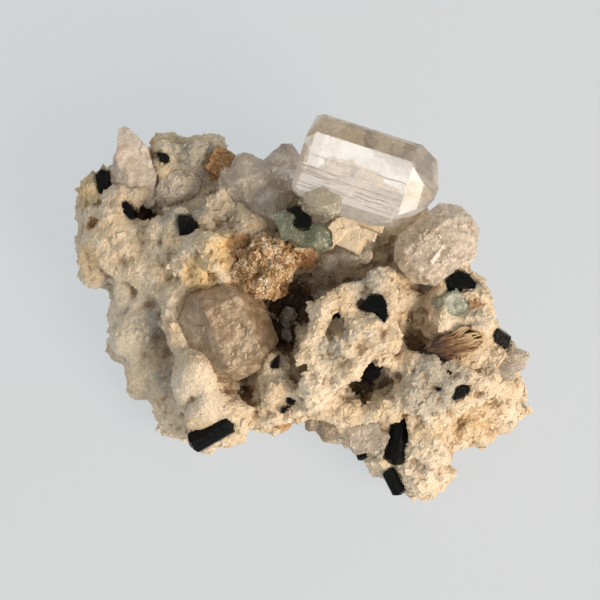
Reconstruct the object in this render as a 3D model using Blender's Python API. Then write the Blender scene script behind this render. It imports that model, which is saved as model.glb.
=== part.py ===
"""Topaz specimen: clear, etched and brown topaz with quartz, fluorite, mica and black schorl on albite.

The tables below are in millimetres and the scene is in metres, +Z up. The rock is sawn flat underneath,
at z = 0, and the origin lies in that flat. +X runs along the specimen, and it is looked at from the front,
-Y, and above. Every crystal is a convex solid bounded by flat faces, or a few such solids grown together,
and sits in a socket of the rock with a hair of room around it.
"""

import math
import random
from dataclasses import dataclass

import bmesh
import bpy
from mathutils import Matrix, Vector, noise
from mathutils.bvhtree import BVHTree

MM = 0.001
SOCKET_GAP = 0.3  # room between a crystal and the rock or crystal it grew in
GRAIN = 0.75  # the smallest form that the rock's solid carries
MATRIX_FACES = 2650  # triangles of the rock before its sockets are cut
PROUD = 0.4  # how far a broken schorl end stands out of the rock
RIM_TUCK = 2.4  # how far the rock draws in from its widest line, down to the sawn flat
RIM_SWELL = 0.6  # how far broken grains stand out past the widest line
CORE_RISE = 3.0  # height of the plain core above its widest line
CORE_MIDDLE = 9.5  # height of the plain core in the middle
UNDERSIDE = -4.0  # where the core ended before the saw took it off at z = 0
SLAB_THICKNESS = 2.8
SLAB_FRONT_EDGE = -17.0  # y of the slab's low front edge
SLAB_FRONT_TOP = 19.5  # height of the slab's upper side there
SLAB_SLOPE = 0.31  # rise of the slab for each millimetre towards +Y

TOWARDS_VIEWER = Vector((0, -0.26, 0.966))
VIEWER_RIGHT = Vector((1, 0, 0))
VIEWER_UP = Vector((0, 0.966, 0.26))

# Places and sizes of the large topaz, from its axis to each of its faces
TOPAZ_CENTRE = (8.8, 19.1, 24.4)
TOPAZ_ALONG = (0.939, -0.338, 0.063)
TOPAZ_FACING = (0, -0.44, 0.9)
TOPAZ_FRONT = 5.5
TOPAZ_BACK = 4.6
TOPAZ_SIDE = 7.2

# Angles between topaz faces, in degrees, as the mineral grows them
PRISM_STEP = 55.6  # between the two broad prism faces that meet at the crystal's ridge
NARROW_STEP = 18.8  # between a broad prism face and the narrow one beside it
FLAT_PYRAMID = 34.2  # lean of the blunt end faces, from the crystal's length
PYRAMID = 45.6  # lean of the main end faces
STEEP_PYRAMID = 63.9  # lean of the steep end faces
DOME = 43.6
STEEP_DOME = 62.3


@dataclass
class Form:
    """A convex solid: what lies behind all its faces, each an outward direction and a distance."""

    centre: Vector
    faces: list

    def grown(self, by):
        """The same solid with every face moved out."""
        return Form(self.centre, [(normal, distance + by) for normal, distance in self.faces])


@dataclass
class Finish:
    """Colour and gloss of one mineral."""

    colour: tuple
    roughness: float
    clear: float = 0.0


@dataclass
class Piece:
    """A named crystal, or several grown together.

    With a lift, it is let down along the viewer's line of sight onto the rock, and stands proud by the lift.
    """

    name: str
    finish: Finish
    forms: list
    lift: float | None = None
    anchor: tuple | None = None
    round_edges: float = 0.0
    crust: float = 0.0


@dataclass
class Lump:
    """A broken lump of the rock, by the place and height of its top and its half sizes."""

    name: str
    place: tuple
    top: float
    half: tuple
    turn: float = 0.0


ALBITE = Finish((0.72, 0.62, 0.48), 0.85)
CLEAR_TOPAZ = Finish((0.86, 0.80, 0.74), 0.05, 0.9)
BROWN_TOPAZ = Finish((0.42, 0.30, 0.21), 0.15, 0.5)
GREY_QUARTZ = Finish((0.50, 0.44, 0.38), 0.2, 0.5)
FELDSPAR = Finish((0.66, 0.54, 0.44), 0.4)
RUSTY = Finish((0.48, 0.27, 0.12), 0.5)
FLUORITE = Finish((0.48, 0.56, 0.46), 0.15, 0.6)
MICA = Finish((0.34, 0.23, 0.14), 0.35)
SCHORL = Finish((0.012, 0.014, 0.018), 0.3)

# The rock's widest line, walked clockwise from its left end: x, y and height
RIM = [
    (-35.5, 12.5, 8), (-35, 16.5, 9), (-34, 19.5, 10), (-31.5, 23, 10), (-29.5, 25, 11), (-24, 24.5, 11),
    (-21.5, 26.5, 11), (-19, 28, 11), (-16, 28, 11), (-12.5, 26.5, 11), (-10.5, 24, 11), (-9, 22, 11),
    (-6, 20.5, 10), (-1.5, 20.5, 9), (5, 22, 8), (11, 21.5, 8), (17.5, 18.5, 9), (21.5, 15, 10),
    (25, 11, 10), (26.5, 6.5, 12), (28, 1.5, 13), (30, -2, 13), (32, -5, 12), (34, -7.5, 11),
    (35.5, -10, 9), (35, -13.5, 8), (34.5, -16, 7), (32, -19, 6), (28, -21, 6), (24, -22, 6),
    (23, -24.5, 6), (21, -28, 6), (18.5, -29.5, 6), (15.5, -28, 6), (13, -25.5, 6), (10, -23, 6),
    (7.5, -20, 7), (3, -19.5, 7), (1.5, -18, 7), (0.5, -16, 8), (-1, -17.5, 8), (-5.5, -17, 8),
    (-9.5, -19, 8), (-13, -22.5, 7), (-17.5, -20.5, 6), (-21, -17.5, 5), (-23.5, -14, 5), (-26.5, -10, 5),
    (-28.5, -5.5, 5), (-30.5, -2, 5), (-30, 2.5, 5), (-31.5, 5.5, 6), (-34, 7, 7), (-35, 9.5, 8),
]

LUMPS = [
    Lump("head_knob", (-29.5, 11), 17, (5.4, 5.8, 8), 10),
    Lump("head_north", (-30.8, 16.6), 16, (4.2, 4.6, 7), 30),
    Lump("head_east", (-26.2, 15.8), 16.5, (3.6, 4.2, 6), 60),
    Lump("head_south", (-31.2, 7.8), 13, (4.2, 3.4, 6), 0),
    Lump("spike_seat", (-27, 20.5), 14, (4, 3.6, 6), 20),
    Lump("ridge_west", (-21, 23), 18, (3.4, 3.4, 7), 15),
    Lump("ridge_middle", (-17, 23.4), 19, (3.6, 3.6, 8), 40),
    Lump("ridge_east", (-13, 22.4), 17.5, (3.2, 3.6, 7), 70),
    Lump("saddle", (-19.5, 18.5), 14.5, (4.5, 3, 5), 25),
    Lump("plateau_west", (-20, 8.5), 20, (4.6, 5.2, 8), 15),
    Lump("plateau_middle", (-16.5, 10.5), 21.5, (4.6, 4.4, 9), 50),
    Lump("plateau_north", (-12, 14), 20.5, (4.2, 3.4, 8), 80),
    Lump("plateau_east", (-9, 9.5), 22, (4.6, 4.4, 9), 30),
    Lump("cream_block", (-13.4, 6.6), 24, (3.2, 2.8, 6), 20),
    Lump("cream_brow", (-12.4, 3.2), 23.5, (3.8, 2.6, 7), 5),
    Lump("cream_west", (-16.4, 4.6), 22, (2.8, 3, 6), 45),
    Lump("flank_top", (-20, 2), 19, (4, 4, 8), 35),
    Lump("hollow_west", (-18.2, -3), 17.6, (2.6, 3.6, 7), 5),
    Lump("hollow_north", (-14, 2.6), 21, (3, 2.2, 7), 10),
    Lump("hollow_east", (-4.6, -9.6), 16.4, (2.2, 3, 7), 0),
    Lump("flank_upper", (-24.4, 5.4), 15.5, (4.6, 3.8, 7), 10),
    Lump("flank_middle", (-24, 0), 12.5, (4.8, 5, 7), 25),
    Lump("flank_lower", (-26, -4.6), 9.5, (3.6, 4.4, 6), 55),
    Lump("flank_foot", (-22.6, -10), 9, (3.2, 4.8, 6), 30),
    Lump("bulge_top", (-17, -4.6), 16, (3, 4.4, 8), 10),
    Lump("bulge_middle", (-16, -10.5), 16, (4.4, 5, 8), 20),
    Lump("bulge_foot", (-14.4, -15.8), 15.5, (4.2, 4, 8), 40),
    Lump("bulge_south", (-11, -17.4), 14.5, (3.2, 3.2, 7), 60),
    Lump("bulge_west", (-17.6, -16.6), 11.5, (3.4, 3.4, 6), 0),
    Lump("south_ridge", (-6.8, -15.6), 14.5, (2.6, 2.8, 6), 15),
    Lump("south_ridge_top", (-4.2, -13.8), 16.5, (2.8, 2.4, 7), 50),
    Lump("south_ridge_foot", (-5.6, -16.8), 12, (3.4, 1.8, 5), 5),
    Lump("south_ridge_east", (-1.4, -14.8), 17, (2.4, 2.8, 8), 30),
    Lump("druse_seat", (-6, 4.2), 18, (4.4, 4, 7), 30),
    Lump("fluorite_seat", (0.6, 8.6), 22.5, (4.4, 3, 8), 15),
    Lump("blade_seat", (7, 9.2), 21.5, (4, 2.8, 8), 0),
    Lump("blade_foot", (6.4, 7.4), 19, (3, 2.2, 6), 20),
    Lump("topaz_seat_west", (2.6, 16), 20.5, (4.2, 4.4, 8), 15),
    Lump("topaz_seat_middle", (8.6, 14.4), 20.5, (4.6, 4.6, 8), 40),
    Lump("topaz_seat_east", (14.8, 12.4), 21, (4, 4.2, 8), 70),
    Lump("topaz_back", (8, 19), 18, (7, 4, 7), -20),
    Lump("etched_seat", (20.4, 8.4), 17.5, (4.6, 4.2, 7), 20),
    Lump("etched_back", (23.2, 9.6), 14.5, (3.6, 3.6, 6), 50),
    Lump("quartz_seat", (-6, 16), 16, (4.4, 4, 7), 10),
    Lump("quartz_back", (-3, 18.6), 13.5, (4, 3.4, 6), 0),
    Lump("slab_root_west", (3.2, -6.6), 17.5, (3.2, 4.2, 9), 20),
    Lump("slab_root_north", (9.6, -0.6), 20.5, (4, 3.6, 9), 10),
    Lump("slab_root_tip", (13.4, 0.8), 22, (3, 3, 9), 40),
    Lump("slab_root_south", (4, -12.8), 17.5, (4, 3.6, 9), 60),
    Lump("slab_root_east", (12.6, -6.6), 20.5, (3.4, 4.6, 9), 0),
    Lump("slab_lip", (2.4, -15.4), 18, (3.4, 2.4, 7), 10),
    Lump("east_block", (22, -2.4), 20, (3.2, 3.4, 8), 15),
    Lump("east_north", (22.6, 2.2), 18.5, (3.2, 3.2, 7), 45),
    Lump("east_shoulder", (26.2, -3.6), 18, (2.8, 3.6, 7), 70),
    Lump("east_rim", (29.6, -6), 15.5, (3.2, 3.6, 6), 20),
    Lump("east_corner", (31.4, -10), 14, (3.2, 3.4, 6), 50),
    Lump("east_foot", (32.6, -13), 11, (2.8, 3.4, 5), 0),
    Lump("ledge_upper", (19.6, -11.4), 19.5, (3.4, 2.4, 8), 20),
    Lump("ledge_book", (24.4, -10.2), 16, (4.6, 2, 7), 15),
    Lump("ledge_middle", (26.4, -12.6), 16.8, (5, 1.5, 6), 17),
    Lump("ledge_lower", (28, -15.2), 14.2, (4.8, 1.5, 6), 17),
    Lump("ledge_west", (21.6, -14.8), 17.8, (3.4, 2, 7), 12),
    Lump("stained_patch", (28, -18), 10.5, (3.6, 2.2, 5), 20),
    Lump("stained_rim", (31.4, -16.4), 10.2, (2.8, 2.2, 5), 30),
    Lump("stained_west", (24, -19.4), 10.5, (3.2, 2.2, 5), 5),
    Lump("middle_block", (16.6, -14.6), 18, (2.6, 3, 8), 30),
    Lump("middle_tooth", (11.8, -17), 17.4, (2.6, 2, 7), 70),
    Lump("middle_low", (7, -17.4), 15, (3.4, 2, 6), 0),
    Lump("middle_south", (19.6, -18.2), 14.5, (2.8, 3.2, 6), 20),
    Lump("tip_middle", (18.4, -23), 12, (3, 3.6, 6), 10),
    Lump("tip_east", (21.4, -22), 11, (2.4, 3.2, 5), 40),
    Lump("tip_end", (18, -27), 8.6, (2.6, 2.6, 5), 0),
    Lump("tip_west", (12.4, -23.2), 9.6, (2.4, 2.2, 5), 60),
    Lump("south_flank", (8.8, -19.8), 11, (3.4, 2.2, 5), -30),
    Lump("quartz_bed", (4.2, -17.4), 11, (3.4, 1.8, 5), 0),
]

# Hollows broken or dissolved out of the rock, cut by lumps of their own
PITS = [
    Lump("pocket_front", (-2.6, -5.6), 24, (1.9, 3.4, 8), -8),
    Lump("pocket_back", (-1.4, -0.2), 24, (2.6, 2.6, 7.5), 20),
    Lump("channel", (3.4, 2.8), 24, (3.6, 1.7, 5.5), 25),
    Lump("crevice", (-23.6, 13.6), 18, (1.1, 2.8, 5), 25),
    Lump("cleft", (-8.4, -14.4), 20, (0.8, 2.4, 6), -18),
    Lump("slab_pit", (5, -5.5), 27, (1.3, 1.3, 5), 30),
    Lump("head_pit", (-31.6, 11.3), 19, (0.8, 0.8, 3), 0),
    Lump("cream_hollow", (-13.9, 1.4), 24, (1.3, 0.9, 3), 10),
    Lump("rust_pit_west", (26.6, -17.4), 12, (0.9, 1.1, 3), 10),
    Lump("rust_pit_east", (29, -16.6), 12.5, (1.1, 0.9, 3), 40),
    Lump("quartz_hollow", (9.8, -14), 22, (1.9, 1.7, 4.5), 20),
    Lump("small_pit", (19.4, -15.8), 20, (0.7, 1.1, 3), 10),
    Lump("east_gap", (18.6, -5), 24, (1.4, 3.6, 6), -6),
]

# The ragged slab that overhangs the pocket, walked round from its left corner: x and y
SLAB = [
    (-2, -10), (-1.5, -8), (0, -6.5), (0.5, -4), (2, -2), (4, -1.5), (6.5, -0.5), (7.5, 1), (10, 2),
    (11.5, 3.5), (13, 3), (14.5, 2), (16, 1.5), (15.5, -0.5), (16, -2.5), (15.5, -4.5), (16.5, -6.5),
    (16, -8.5), (14.5, -10), (13, -10.5), (11, -11.5), (9.5, -12), (8, -13.5), (7.5, -15), (6, -16),
    (4.5, -17), (2.5, -17), (0.5, -16.5), (-1, -15), (-2.5, -13),
]


def seen(right, up, towards=0.0):
    """A direction or shift given as the viewer sees it: to the right, up and towards the eye."""
    return VIEWER_RIGHT * right + VIEWER_UP * up + TOWARDS_VIEWER * towards


def crystal_axes(along, facing):
    """Axes (a, b, c): c runs along the crystal, and a is as near as it can be to facing."""
    c = Vector(along).normalized()
    a = (Vector(facing) - c * c.dot(Vector(facing))).normalized()
    return a, c.cross(a), c


def face_towards(axes, turn, lean):
    """The direction that leans so many degrees from c, turned about c from a towards b."""
    a, b, c = axes
    around = a * math.cos(math.radians(turn)) + b * math.sin(math.radians(turn))
    return c * math.cos(math.radians(lean)) + around * math.sin(math.radians(lean))


def rough_form(centre, half, turn=0.0, faces=22, seed=1):
    """A broken lump that fills an ellipsoid of the given half sizes with irregular flat faces."""
    chance = random.Random(seed)
    spin = Matrix.Rotation(math.radians(turn), 3, "Z")
    golden_angle = math.pi * (3 - math.sqrt(5))
    planes = []
    for index in range(faces):
        height = 1 - 2 * (index + 0.5) / faces
        ring = math.sqrt(1 - height * height)
        angle = golden_angle * index + seed
        normal = Vector((ring * math.cos(angle), ring * math.sin(angle), height))
        normal += Vector([chance.uniform(-0.25, 0.25) for _ in range(3)])
        normal.normalize()
        reach = math.sqrt(sum((normal[i] * half[i]) ** 2 for i in range(3)))
        planes.append((spin @ normal, reach * chance.uniform(0.88, 1.06)))
    return Form(Vector(centre), planes)


def prism_form(centre, along, facing, radius, half_length, sides=6, lean=52.0, seed=1):
    """A prism with an end of flat faces: quartz has 6 sides, and schorl 9 with nearly flat ends."""
    chance = random.Random(seed)
    axes = crystal_axes(along, facing)
    shoulder = half_length - 0.75 * radius * math.tan(math.radians(lean))
    planes = []
    for side in range(sides):
        turn = 360 / sides * side
        planes.append((face_towards(axes, turn, 90), radius * chance.uniform(0.86, 1.04)))
        reach = shoulder * math.cos(math.radians(lean)) + radius * math.sin(math.radians(lean))
        planes.append((face_towards(axes, turn, lean), reach * chance.uniform(0.94, 1.04)))
        planes.append((face_towards(axes, turn, 180 - lean), reach * chance.uniform(0.94, 1.04)))
    planes += [(axes[2], half_length), (-axes[2], half_length)]
    return Form(Vector(centre), planes)


def block_form(centre, along, facing, half, chip=0.82, seed=1):
    """A cleaved block or bar, half sizes along (length, width, depth), with corners broken off."""
    chance = random.Random(seed)
    a, b, c = crystal_axes(along, facing)
    planes = []
    for direction, size in ((c, half[0]), (b, half[1]), (a, half[2])):
        planes += [(direction, size), (-direction, size * chance.uniform(0.9, 1.0))]
    for signs in ((1, 1, 1), (1, -1, 1), (-1, 1, 1), (-1, -1, 1), (1, 1, -1), (-1, -1, -1)):
        corner = c * half[0] * signs[0] + b * half[1] * signs[1] + a * half[2] * signs[2]
        normal = c / half[0] * signs[0] + b / half[1] * signs[1] + a / half[2] * signs[2]
        normal.normalize()
        planes.append((normal, normal.dot(corner) * chance.uniform(chip, 0.98)))
    return Form(Vector(centre), planes)


def section_form(centre, corners, depth, tilt):
    """A crystal seen end on: the convex outline of its corners (right, up), running back into the rock."""
    points = [Vector(corner) for corner in corners]
    middle = sum(points, Vector((0, 0))) / len(points)
    planes = []
    for start, end in zip(points, points[1:] + points[:1]):
        edge = end - start
        outward = Vector((edge.y, -edge.x)).normalized()
        if outward.dot((start + end) / 2 - middle) < 0:
            outward = -outward
        normal = seen(outward.x, outward.y, 0.08).normalized()
        planes.append((normal, normal.dot(seen(start.x, start.y, 0))))
    planes.append((seen(tilt[0], tilt[1], 1).normalized(), PROUD))
    planes.append((seen(0, 0, -1), depth))
    return Form(Vector(centre), planes)


def large_topaz():
    """The main crystal: prism faces along its length, and pyramids and domes at each end."""
    axes = crystal_axes(TOPAZ_ALONG, TOPAZ_FACING)
    far_ridge = 360 - PRISM_STEP
    under_ridge = 180 - PRISM_STEP
    dome_turn = 90 - PRISM_STEP / 2
    prism = [
        (0, TOPAZ_FRONT),
        (far_ridge, TOPAZ_FRONT),
        (NARROW_STEP, TOPAZ_SIDE),
        (far_ridge - NARROW_STEP, TOPAZ_FRONT),
        (under_ridge, 5.0),
        (under_ridge - NARROW_STEP, 6.6),
        (180, TOPAZ_BACK),
        (180 + NARROW_STEP, 6.0),
        (dome_turn + 180, 4.1),
    ]
    right_end = [
        (0, PYRAMID, 10.15),
        (0, FLAT_PYRAMID, 11.05),
        (far_ridge, STEEP_PYRAMID, 8.8),
        (far_ridge, FLAT_PYRAMID, 10.2),
        (under_ridge, PYRAMID, 10.0),
        (180, PYRAMID, 9.6),
        (dome_turn, DOME, 11.5),
        (dome_turn, STEEP_DOME, 10.9),
        (dome_turn + 180, STEEP_DOME, 8.8),
    ]
    left_end = [
        (0, PYRAMID, 8.9),
        (under_ridge, PYRAMID, 8.9),
        (180, PYRAMID, 8.6),
        (far_ridge, PYRAMID, 8.4),
        (dome_turn, STEEP_DOME, 10.2),
        (dome_turn + 180, STEEP_DOME, 7.8),
    ]
    planes = [(face_towards(axes, turn, 90), distance) for turn, distance in prism]
    planes += [(face_towards(axes, turn, lean), distance) for turn, lean, distance in right_end]
    planes += [(face_towards(axes, turn, 180 - lean), distance) for turn, lean, distance in left_end]
    planes += [(axes[2], 12.9), (-axes[2], 8.0)]
    return Form(Vector(TOPAZ_CENTRE), planes)


def stout_topaz(centre, along, facing, half_width, half_length, seed):
    """A short topaz: eight prism faces, and blunt ends with two rings of faces."""
    chance = random.Random(seed)
    axes = crystal_axes(along, facing)
    planes = []
    for turn in (0, 52, 98, 140, 180, 222, 262, 308):
        planes.append((face_towards(axes, turn, 90), half_width * chance.uniform(0.93, 1.06)))
        for lean, share in ((PYRAMID, 0.8), (STEEP_PYRAMID, 0.93)):
            reach = math.cos(math.radians(lean)) * half_length + math.sin(math.radians(lean)) * half_width
            planes.append((face_towards(axes, turn, lean), reach * share * chance.uniform(0.95, 1.03)))
            planes.append((face_towards(axes, turn, 180 - lean), reach * share * chance.uniform(0.95, 1.03)))
    planes += [(axes[2], half_length), (-axes[2], half_length)]
    return Form(Vector(centre), planes)


def mica_leaves():
    """A book of mica seen edge on: stiff leaves that slid past each other."""
    along = seen(0.95, 0.3, 0.1)
    up_the_book = seen(-0.3, 0.95, 0.05).normalized()
    slips = ((-0.3, 3.4), (0.2, 4.6), (-0.2, 5.2), (0.4, 4.8), (0.1, 4.0), (-0.5, 3.2))
    leaves = []
    for index, (shift, length) in enumerate(slips):
        middle = Vector((22.8, -7.8, 16.2)) + up_the_book * (index - 2.5) * 0.66 + along * shift
        half = (length, 2.6 - 0.2 * index, 0.44)
        leaves.append(block_form(middle, along, up_the_book, half, 0.92, 40 + index))
    return leaves


def fluorite_form(centre, radius, turn, seed):
    """A fluorite cube with its corners cut by octahedron faces."""
    chance = random.Random(seed)
    spin = Matrix.Rotation(math.radians(turn), 3, TOWARDS_VIEWER) @ Matrix.Rotation(0.6, 3, "X")
    planes = []
    for axis in range(3):
        for sign in (1, -1):
            normal = Vector((0, 0, 0))
            normal[axis] = sign
            planes.append((spin @ normal, radius * chance.uniform(0.85, 1.0)))
    for index in range(8):
        normal = Vector((1 if index & 1 else -1, 1 if index & 2 else -1, 1 if index & 4 else -1)).normalized()
        planes.append((spin @ normal, radius * chance.uniform(1.05, 1.3)))
    return Form(Vector(centre), planes)


def schorl_prism(name, centre, right, up, towards, radius, half_length, seed, lift=None):
    """A schorl that lies in the rock: nine sides and blunt broken ends."""
    prism = prism_form(centre, seen(right, up, towards), TOWARDS_VIEWER, radius, half_length, 9, 25, seed)
    return Piece(name, SCHORL, [prism], lift=lift)


def schorl_end(name, centre, depth, tilt, *outlines, lift=0.0):
    """A schorl seen end on, by one or more convex outlines around its centre."""
    forms = [section_form(centre, outline, depth, tilt) for outline in outlines]
    return Piece(name, SCHORL, forms, lift=lift, anchor=centre)


def schorl_pieces():
    """Every black crystal, from the left end of the specimen to the right."""
    return [
        schorl_end("schorl_01", (-30.8, 18.4, 15.8), 3.4, (0.2, 0),
                   [(-1.1, 1.2), (-0.2, 2.2), (0.7, 1.9), (0.8, 0), (0.5, -1.4), (-0.6, -1.4)],
                   [(0.7, 0.1), (1.6, -1.1), (0.4, -2.2), (-0.6, -1.4), (-0.3, 0.2)]),
        schorl_end("schorl_02", (-26.7, 13.7, 16.6), 4, (-0.1, 0.2),
                   [(-0.9, 0.9), (-0.2, 1.4), (0.8, 0.5), (1.1, -1.2), (0.5, -1.6), (-0.6, -0.3)]),
        schorl_end("schorl_03", (-21.3, 22, 17.8), 4, (0, -0.2),
                   [(-1, 0.7), (0.1, 0.6), (1, 0.1), (0.8, -0.9), (-0.4, -0.7)]),
        schorl_end("schorl_04", (-17.1, 9.6, 21.8), 6, (0.1, -0.15),
                   [(-1.5, 1.5), (-0.6, 1.7), (0.5, 1.4), (1.4, 0.3), (1.4, -1.2), (-1.3, -1.6)]),
        schorl_end("schorl_05", (0.3, 9.3, 25.2), 6, (0.1, 0.2),
                   [(-1.1, -0.4), (-0.6, 0.8), (0.1, 1.4), (1.1, 0.8), (1.2, -0.1), (0.8, -1.2), (-0.3, -1.1)],
                   [(-1.9, 1.9), (-0.8, 2.3), (0.4, 1.8), (0.2, 1.0), (-1.5, 1.2)], lift=None),
        schorl_end("schorl_06", (11.3, -3.9, 24.0), 5, (-0.2, 0.1),
                   [(-2.4, 0.3), (-1, 1.6), (1.2, 2), (1.8, 0), (0.8, -0.9), (-2.2, -0.3)],
                   [(0.2, 0.4), (1.8, 0), (1.7, -1.6), (1.3, -2.3), (0.4, -1.2)]),
        schorl_end("schorl_07", (5.9, -4.6, 21.6), 3, (0, 0),
                   [(-0.5, 0.2), (0, 0.5), (0.4, 0), (0.1, -0.5)]),
        schorl_end("schorl_08", (10.8, -12.4, 20.0), 5, (0.2, 0.25),
                   [(-1.4, 0.9), (1.5, 1.6), (1.8, 0.5), (1, -1.5), (0, -2), (-1.1, -1.1)]),
        schorl_end("schorl_09", (-3.9, -11, 17.6), 3, (0, 0.1),
                   [(-0.7, -0.6), (-0.2, 0.4), (0.6, 1.0), (0.7, -0.8)]),
        schorl_end("schorl_10", (-1.3, -16.4, 16.8), 4, (-0.1, 0),
                   [(-0.8, 0.2), (-0.2, 0.8), (0.9, 0.6), (0.7, -0.3), (0, -0.9), (-0.7, -0.5)],
                   [(-1.5, -1.5), (-0.5, -1.3), (0.2, -0.4), (-0.6, -2.2), (-1.5, -2.1)]),
        schorl_end("schorl_11", (24.7, 1.4, 19.8), 5, (0.25, 0.2),
                   [(-2.3, 0.2), (-1.4, 1.3), (-0.4, 1.7), (1.1, 1.1), (2.3, -0.4), (2.1, -1.1), (-2.1, -1.3)]),
        schorl_end("schorl_12", (30.9, -6.5, 15.6), 5, (0.15, -0.1),
                   [(-1.2, 1), (-0.5, 1.5), (1.5, 0.1), (0.6, -1.5), (-1, -0.7)]),
        schorl_end("schorl_13", (24.3, -15.2, 17.6), 6, (0.1, 0),
                   [(-1.5, -1.5), (-1.4, 0.4), (-0.2, 1.6), (1.4, 0.9), (1.6, -0.1), (-0.6, -1.5)]),
        schorl_end("schorl_14", (22.6, -12.6, 18.4), 3, (0, 0),
                   [(-0.5, 0.1), (0, 0.5), (0.5, 0), (0, -0.5)]),
        schorl_end("schorl_15", (20.9, -15, 17.9), 3, (0, 0),
                   [(-0.5, 0), (0.1, 0.4), (0.5, 0), (0, -0.4)]),
        schorl_prism("schorl_16", (15.1, -21.4, 12.2), -0.17, -0.98, 0.1, 1.7, 4.3, 16, lift=0.2),
        schorl_prism("schorl_17", (14.5, -27, 6.6), 0.45, -0.89, 0, 1.15, 2.3, 17),
        schorl_prism("schorl_18", (9.3, -22.7, 8.2), 0.3, -0.95, 0.3, 0.8, 1.3, 18),
        schorl_prism("schorl_19", (-13.5, -20.2, 10.8), 0.86, 0.5, 0.12, 1.75, 3.9, 19),
    ]


def quartz_pieces():
    """Grey quartz: the group behind the middle, and small crystals in pockets and on the flanks."""
    facing = TOWARDS_VIEWER
    group = [
        prism_form((-7, 16.8, 16.6), seen(-0.36, 0.86, 0.3), facing, 3.5, 6.2, seed=3),
        prism_form((-2.6, 19.2, 15.6), seen(0.1, 0.9, 0.25), facing, 3.3, 5.4, seed=4),
        prism_form((-4.8, 13.6, 17.6), seen(0.2, 0.5, 0.8), facing, 2.8, 4.2, seed=5),
        prism_form((-9.8, 17.2, 16.2), seen(-0.5, 0.7, 0.4), facing, 2.4, 4.0, seed=6),
    ]
    pocket = [
        prism_form((-2, -2, 11.6), seen(0.3, 0.2, 0.9), facing, 1.3, 2.6, seed=7),
        prism_form((-1.6, -4.6, 11), seen(-0.2, -0.3, 0.9), facing, 1.2, 2.4, seed=8),
        prism_form((-2.4, -3.4, 10.4), seen(0, 0.6, 0.7), facing, 1.4, 2.2, seed=9),
    ]
    north = [
        prism_form((7.2, 6, 18.6), seen(0.5, -0.2, 0.8), facing, 1.9, 2.8, seed=10),
        prism_form((4.9, 5.4, 17.4), seen(-0.4, -0.5, 0.8), facing, 1.6, 2.6, seed=11),
        prism_form((9.2, 5.8, 18.4), seen(0.7, 0.1, 0.7), facing, 1.3, 2.4, seed=12),
    ]
    slab = [
        prism_form((4.3, -18.4, 9), seen(-0.1, -0.8, 0.5), facing, 1.9, 3.0, seed=13),
        prism_form((2.6, -17.6, 9), seen(-0.5, -0.6, 0.5), facing, 1.6, 2.6, seed=14),
    ]
    south = [
        block_form((10.1, -20.8, 10.4), seen(0.9, 0.2, 0.1), facing, (2.4, 2.3, 1.8), 0.8, 15),
        block_form((12.1, -21.8, 9.6), seen(0.4, 0.9, 0), facing, (2.0, 1.1, 1.5), 0.8, 16),
    ]
    east = [
        prism_form((32.9, -9.2, 12.4), seen(0.8, 0.4, 0.4), facing, 1.8, 2.6, seed=17),
        prism_form((31.4, -11, 13), seen(0.4, -0.5, 0.7), facing, 1.5, 2.2, seed=18),
    ]
    west = [
        prism_form((-13.4, -13.2, 15.8), seen(0.2, 0.3, 0.9), facing, 0.9, 1.5, seed=19),
        prism_form((-14.2, -12.4, 15.6), seen(-0.4, 0.5, 0.8), facing, 0.7, 1.3, seed=20),
    ]
    ridge = [rough_form((-19.4, 18.3, 13.4), (4.2, 2.6, 3), 25, 20, 21)]
    return [
        Piece("quartz_group", GREY_QUARTZ, group),
        Piece("pocket_quartz", GREY_QUARTZ, pocket, lift=0.2),
        Piece("north_quartz", GREY_QUARTZ, north),
        Piece("slab_quartz", GREY_QUARTZ, slab),
        Piece("south_quartz", GREY_QUARTZ, south, lift=-0.6),
        Piece("east_quartz", GREY_QUARTZ, east, lift=-0.8),
        Piece("west_quartz", GREY_QUARTZ, west, lift=-0.3),
        Piece("ridge_quartz", GREY_QUARTZ, ridge, lift=-1.6),
    ]


def topaz_pieces():
    """The three topaz crystals."""
    etched = stout_topaz((20.9, 7.4, 19), seen(0.79, 0.61, 0.1), TOWARDS_VIEWER, 4.4, 6.6, 5)
    brown = stout_topaz((-11, -4.6, 13.9), seen(-0.36, 0.9, 0.15), (0.1, -0.2, 0.97), 6.3, 7.3, 8)
    return [
        Piece("large_topaz", CLEAR_TOPAZ, [large_topaz()]),
        Piece("etched_topaz", CLEAR_TOPAZ, [etched], round_edges=0.5),
        Piece("brown_topaz", BROWN_TOPAZ, [brown], round_edges=0.35),
    ]


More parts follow.
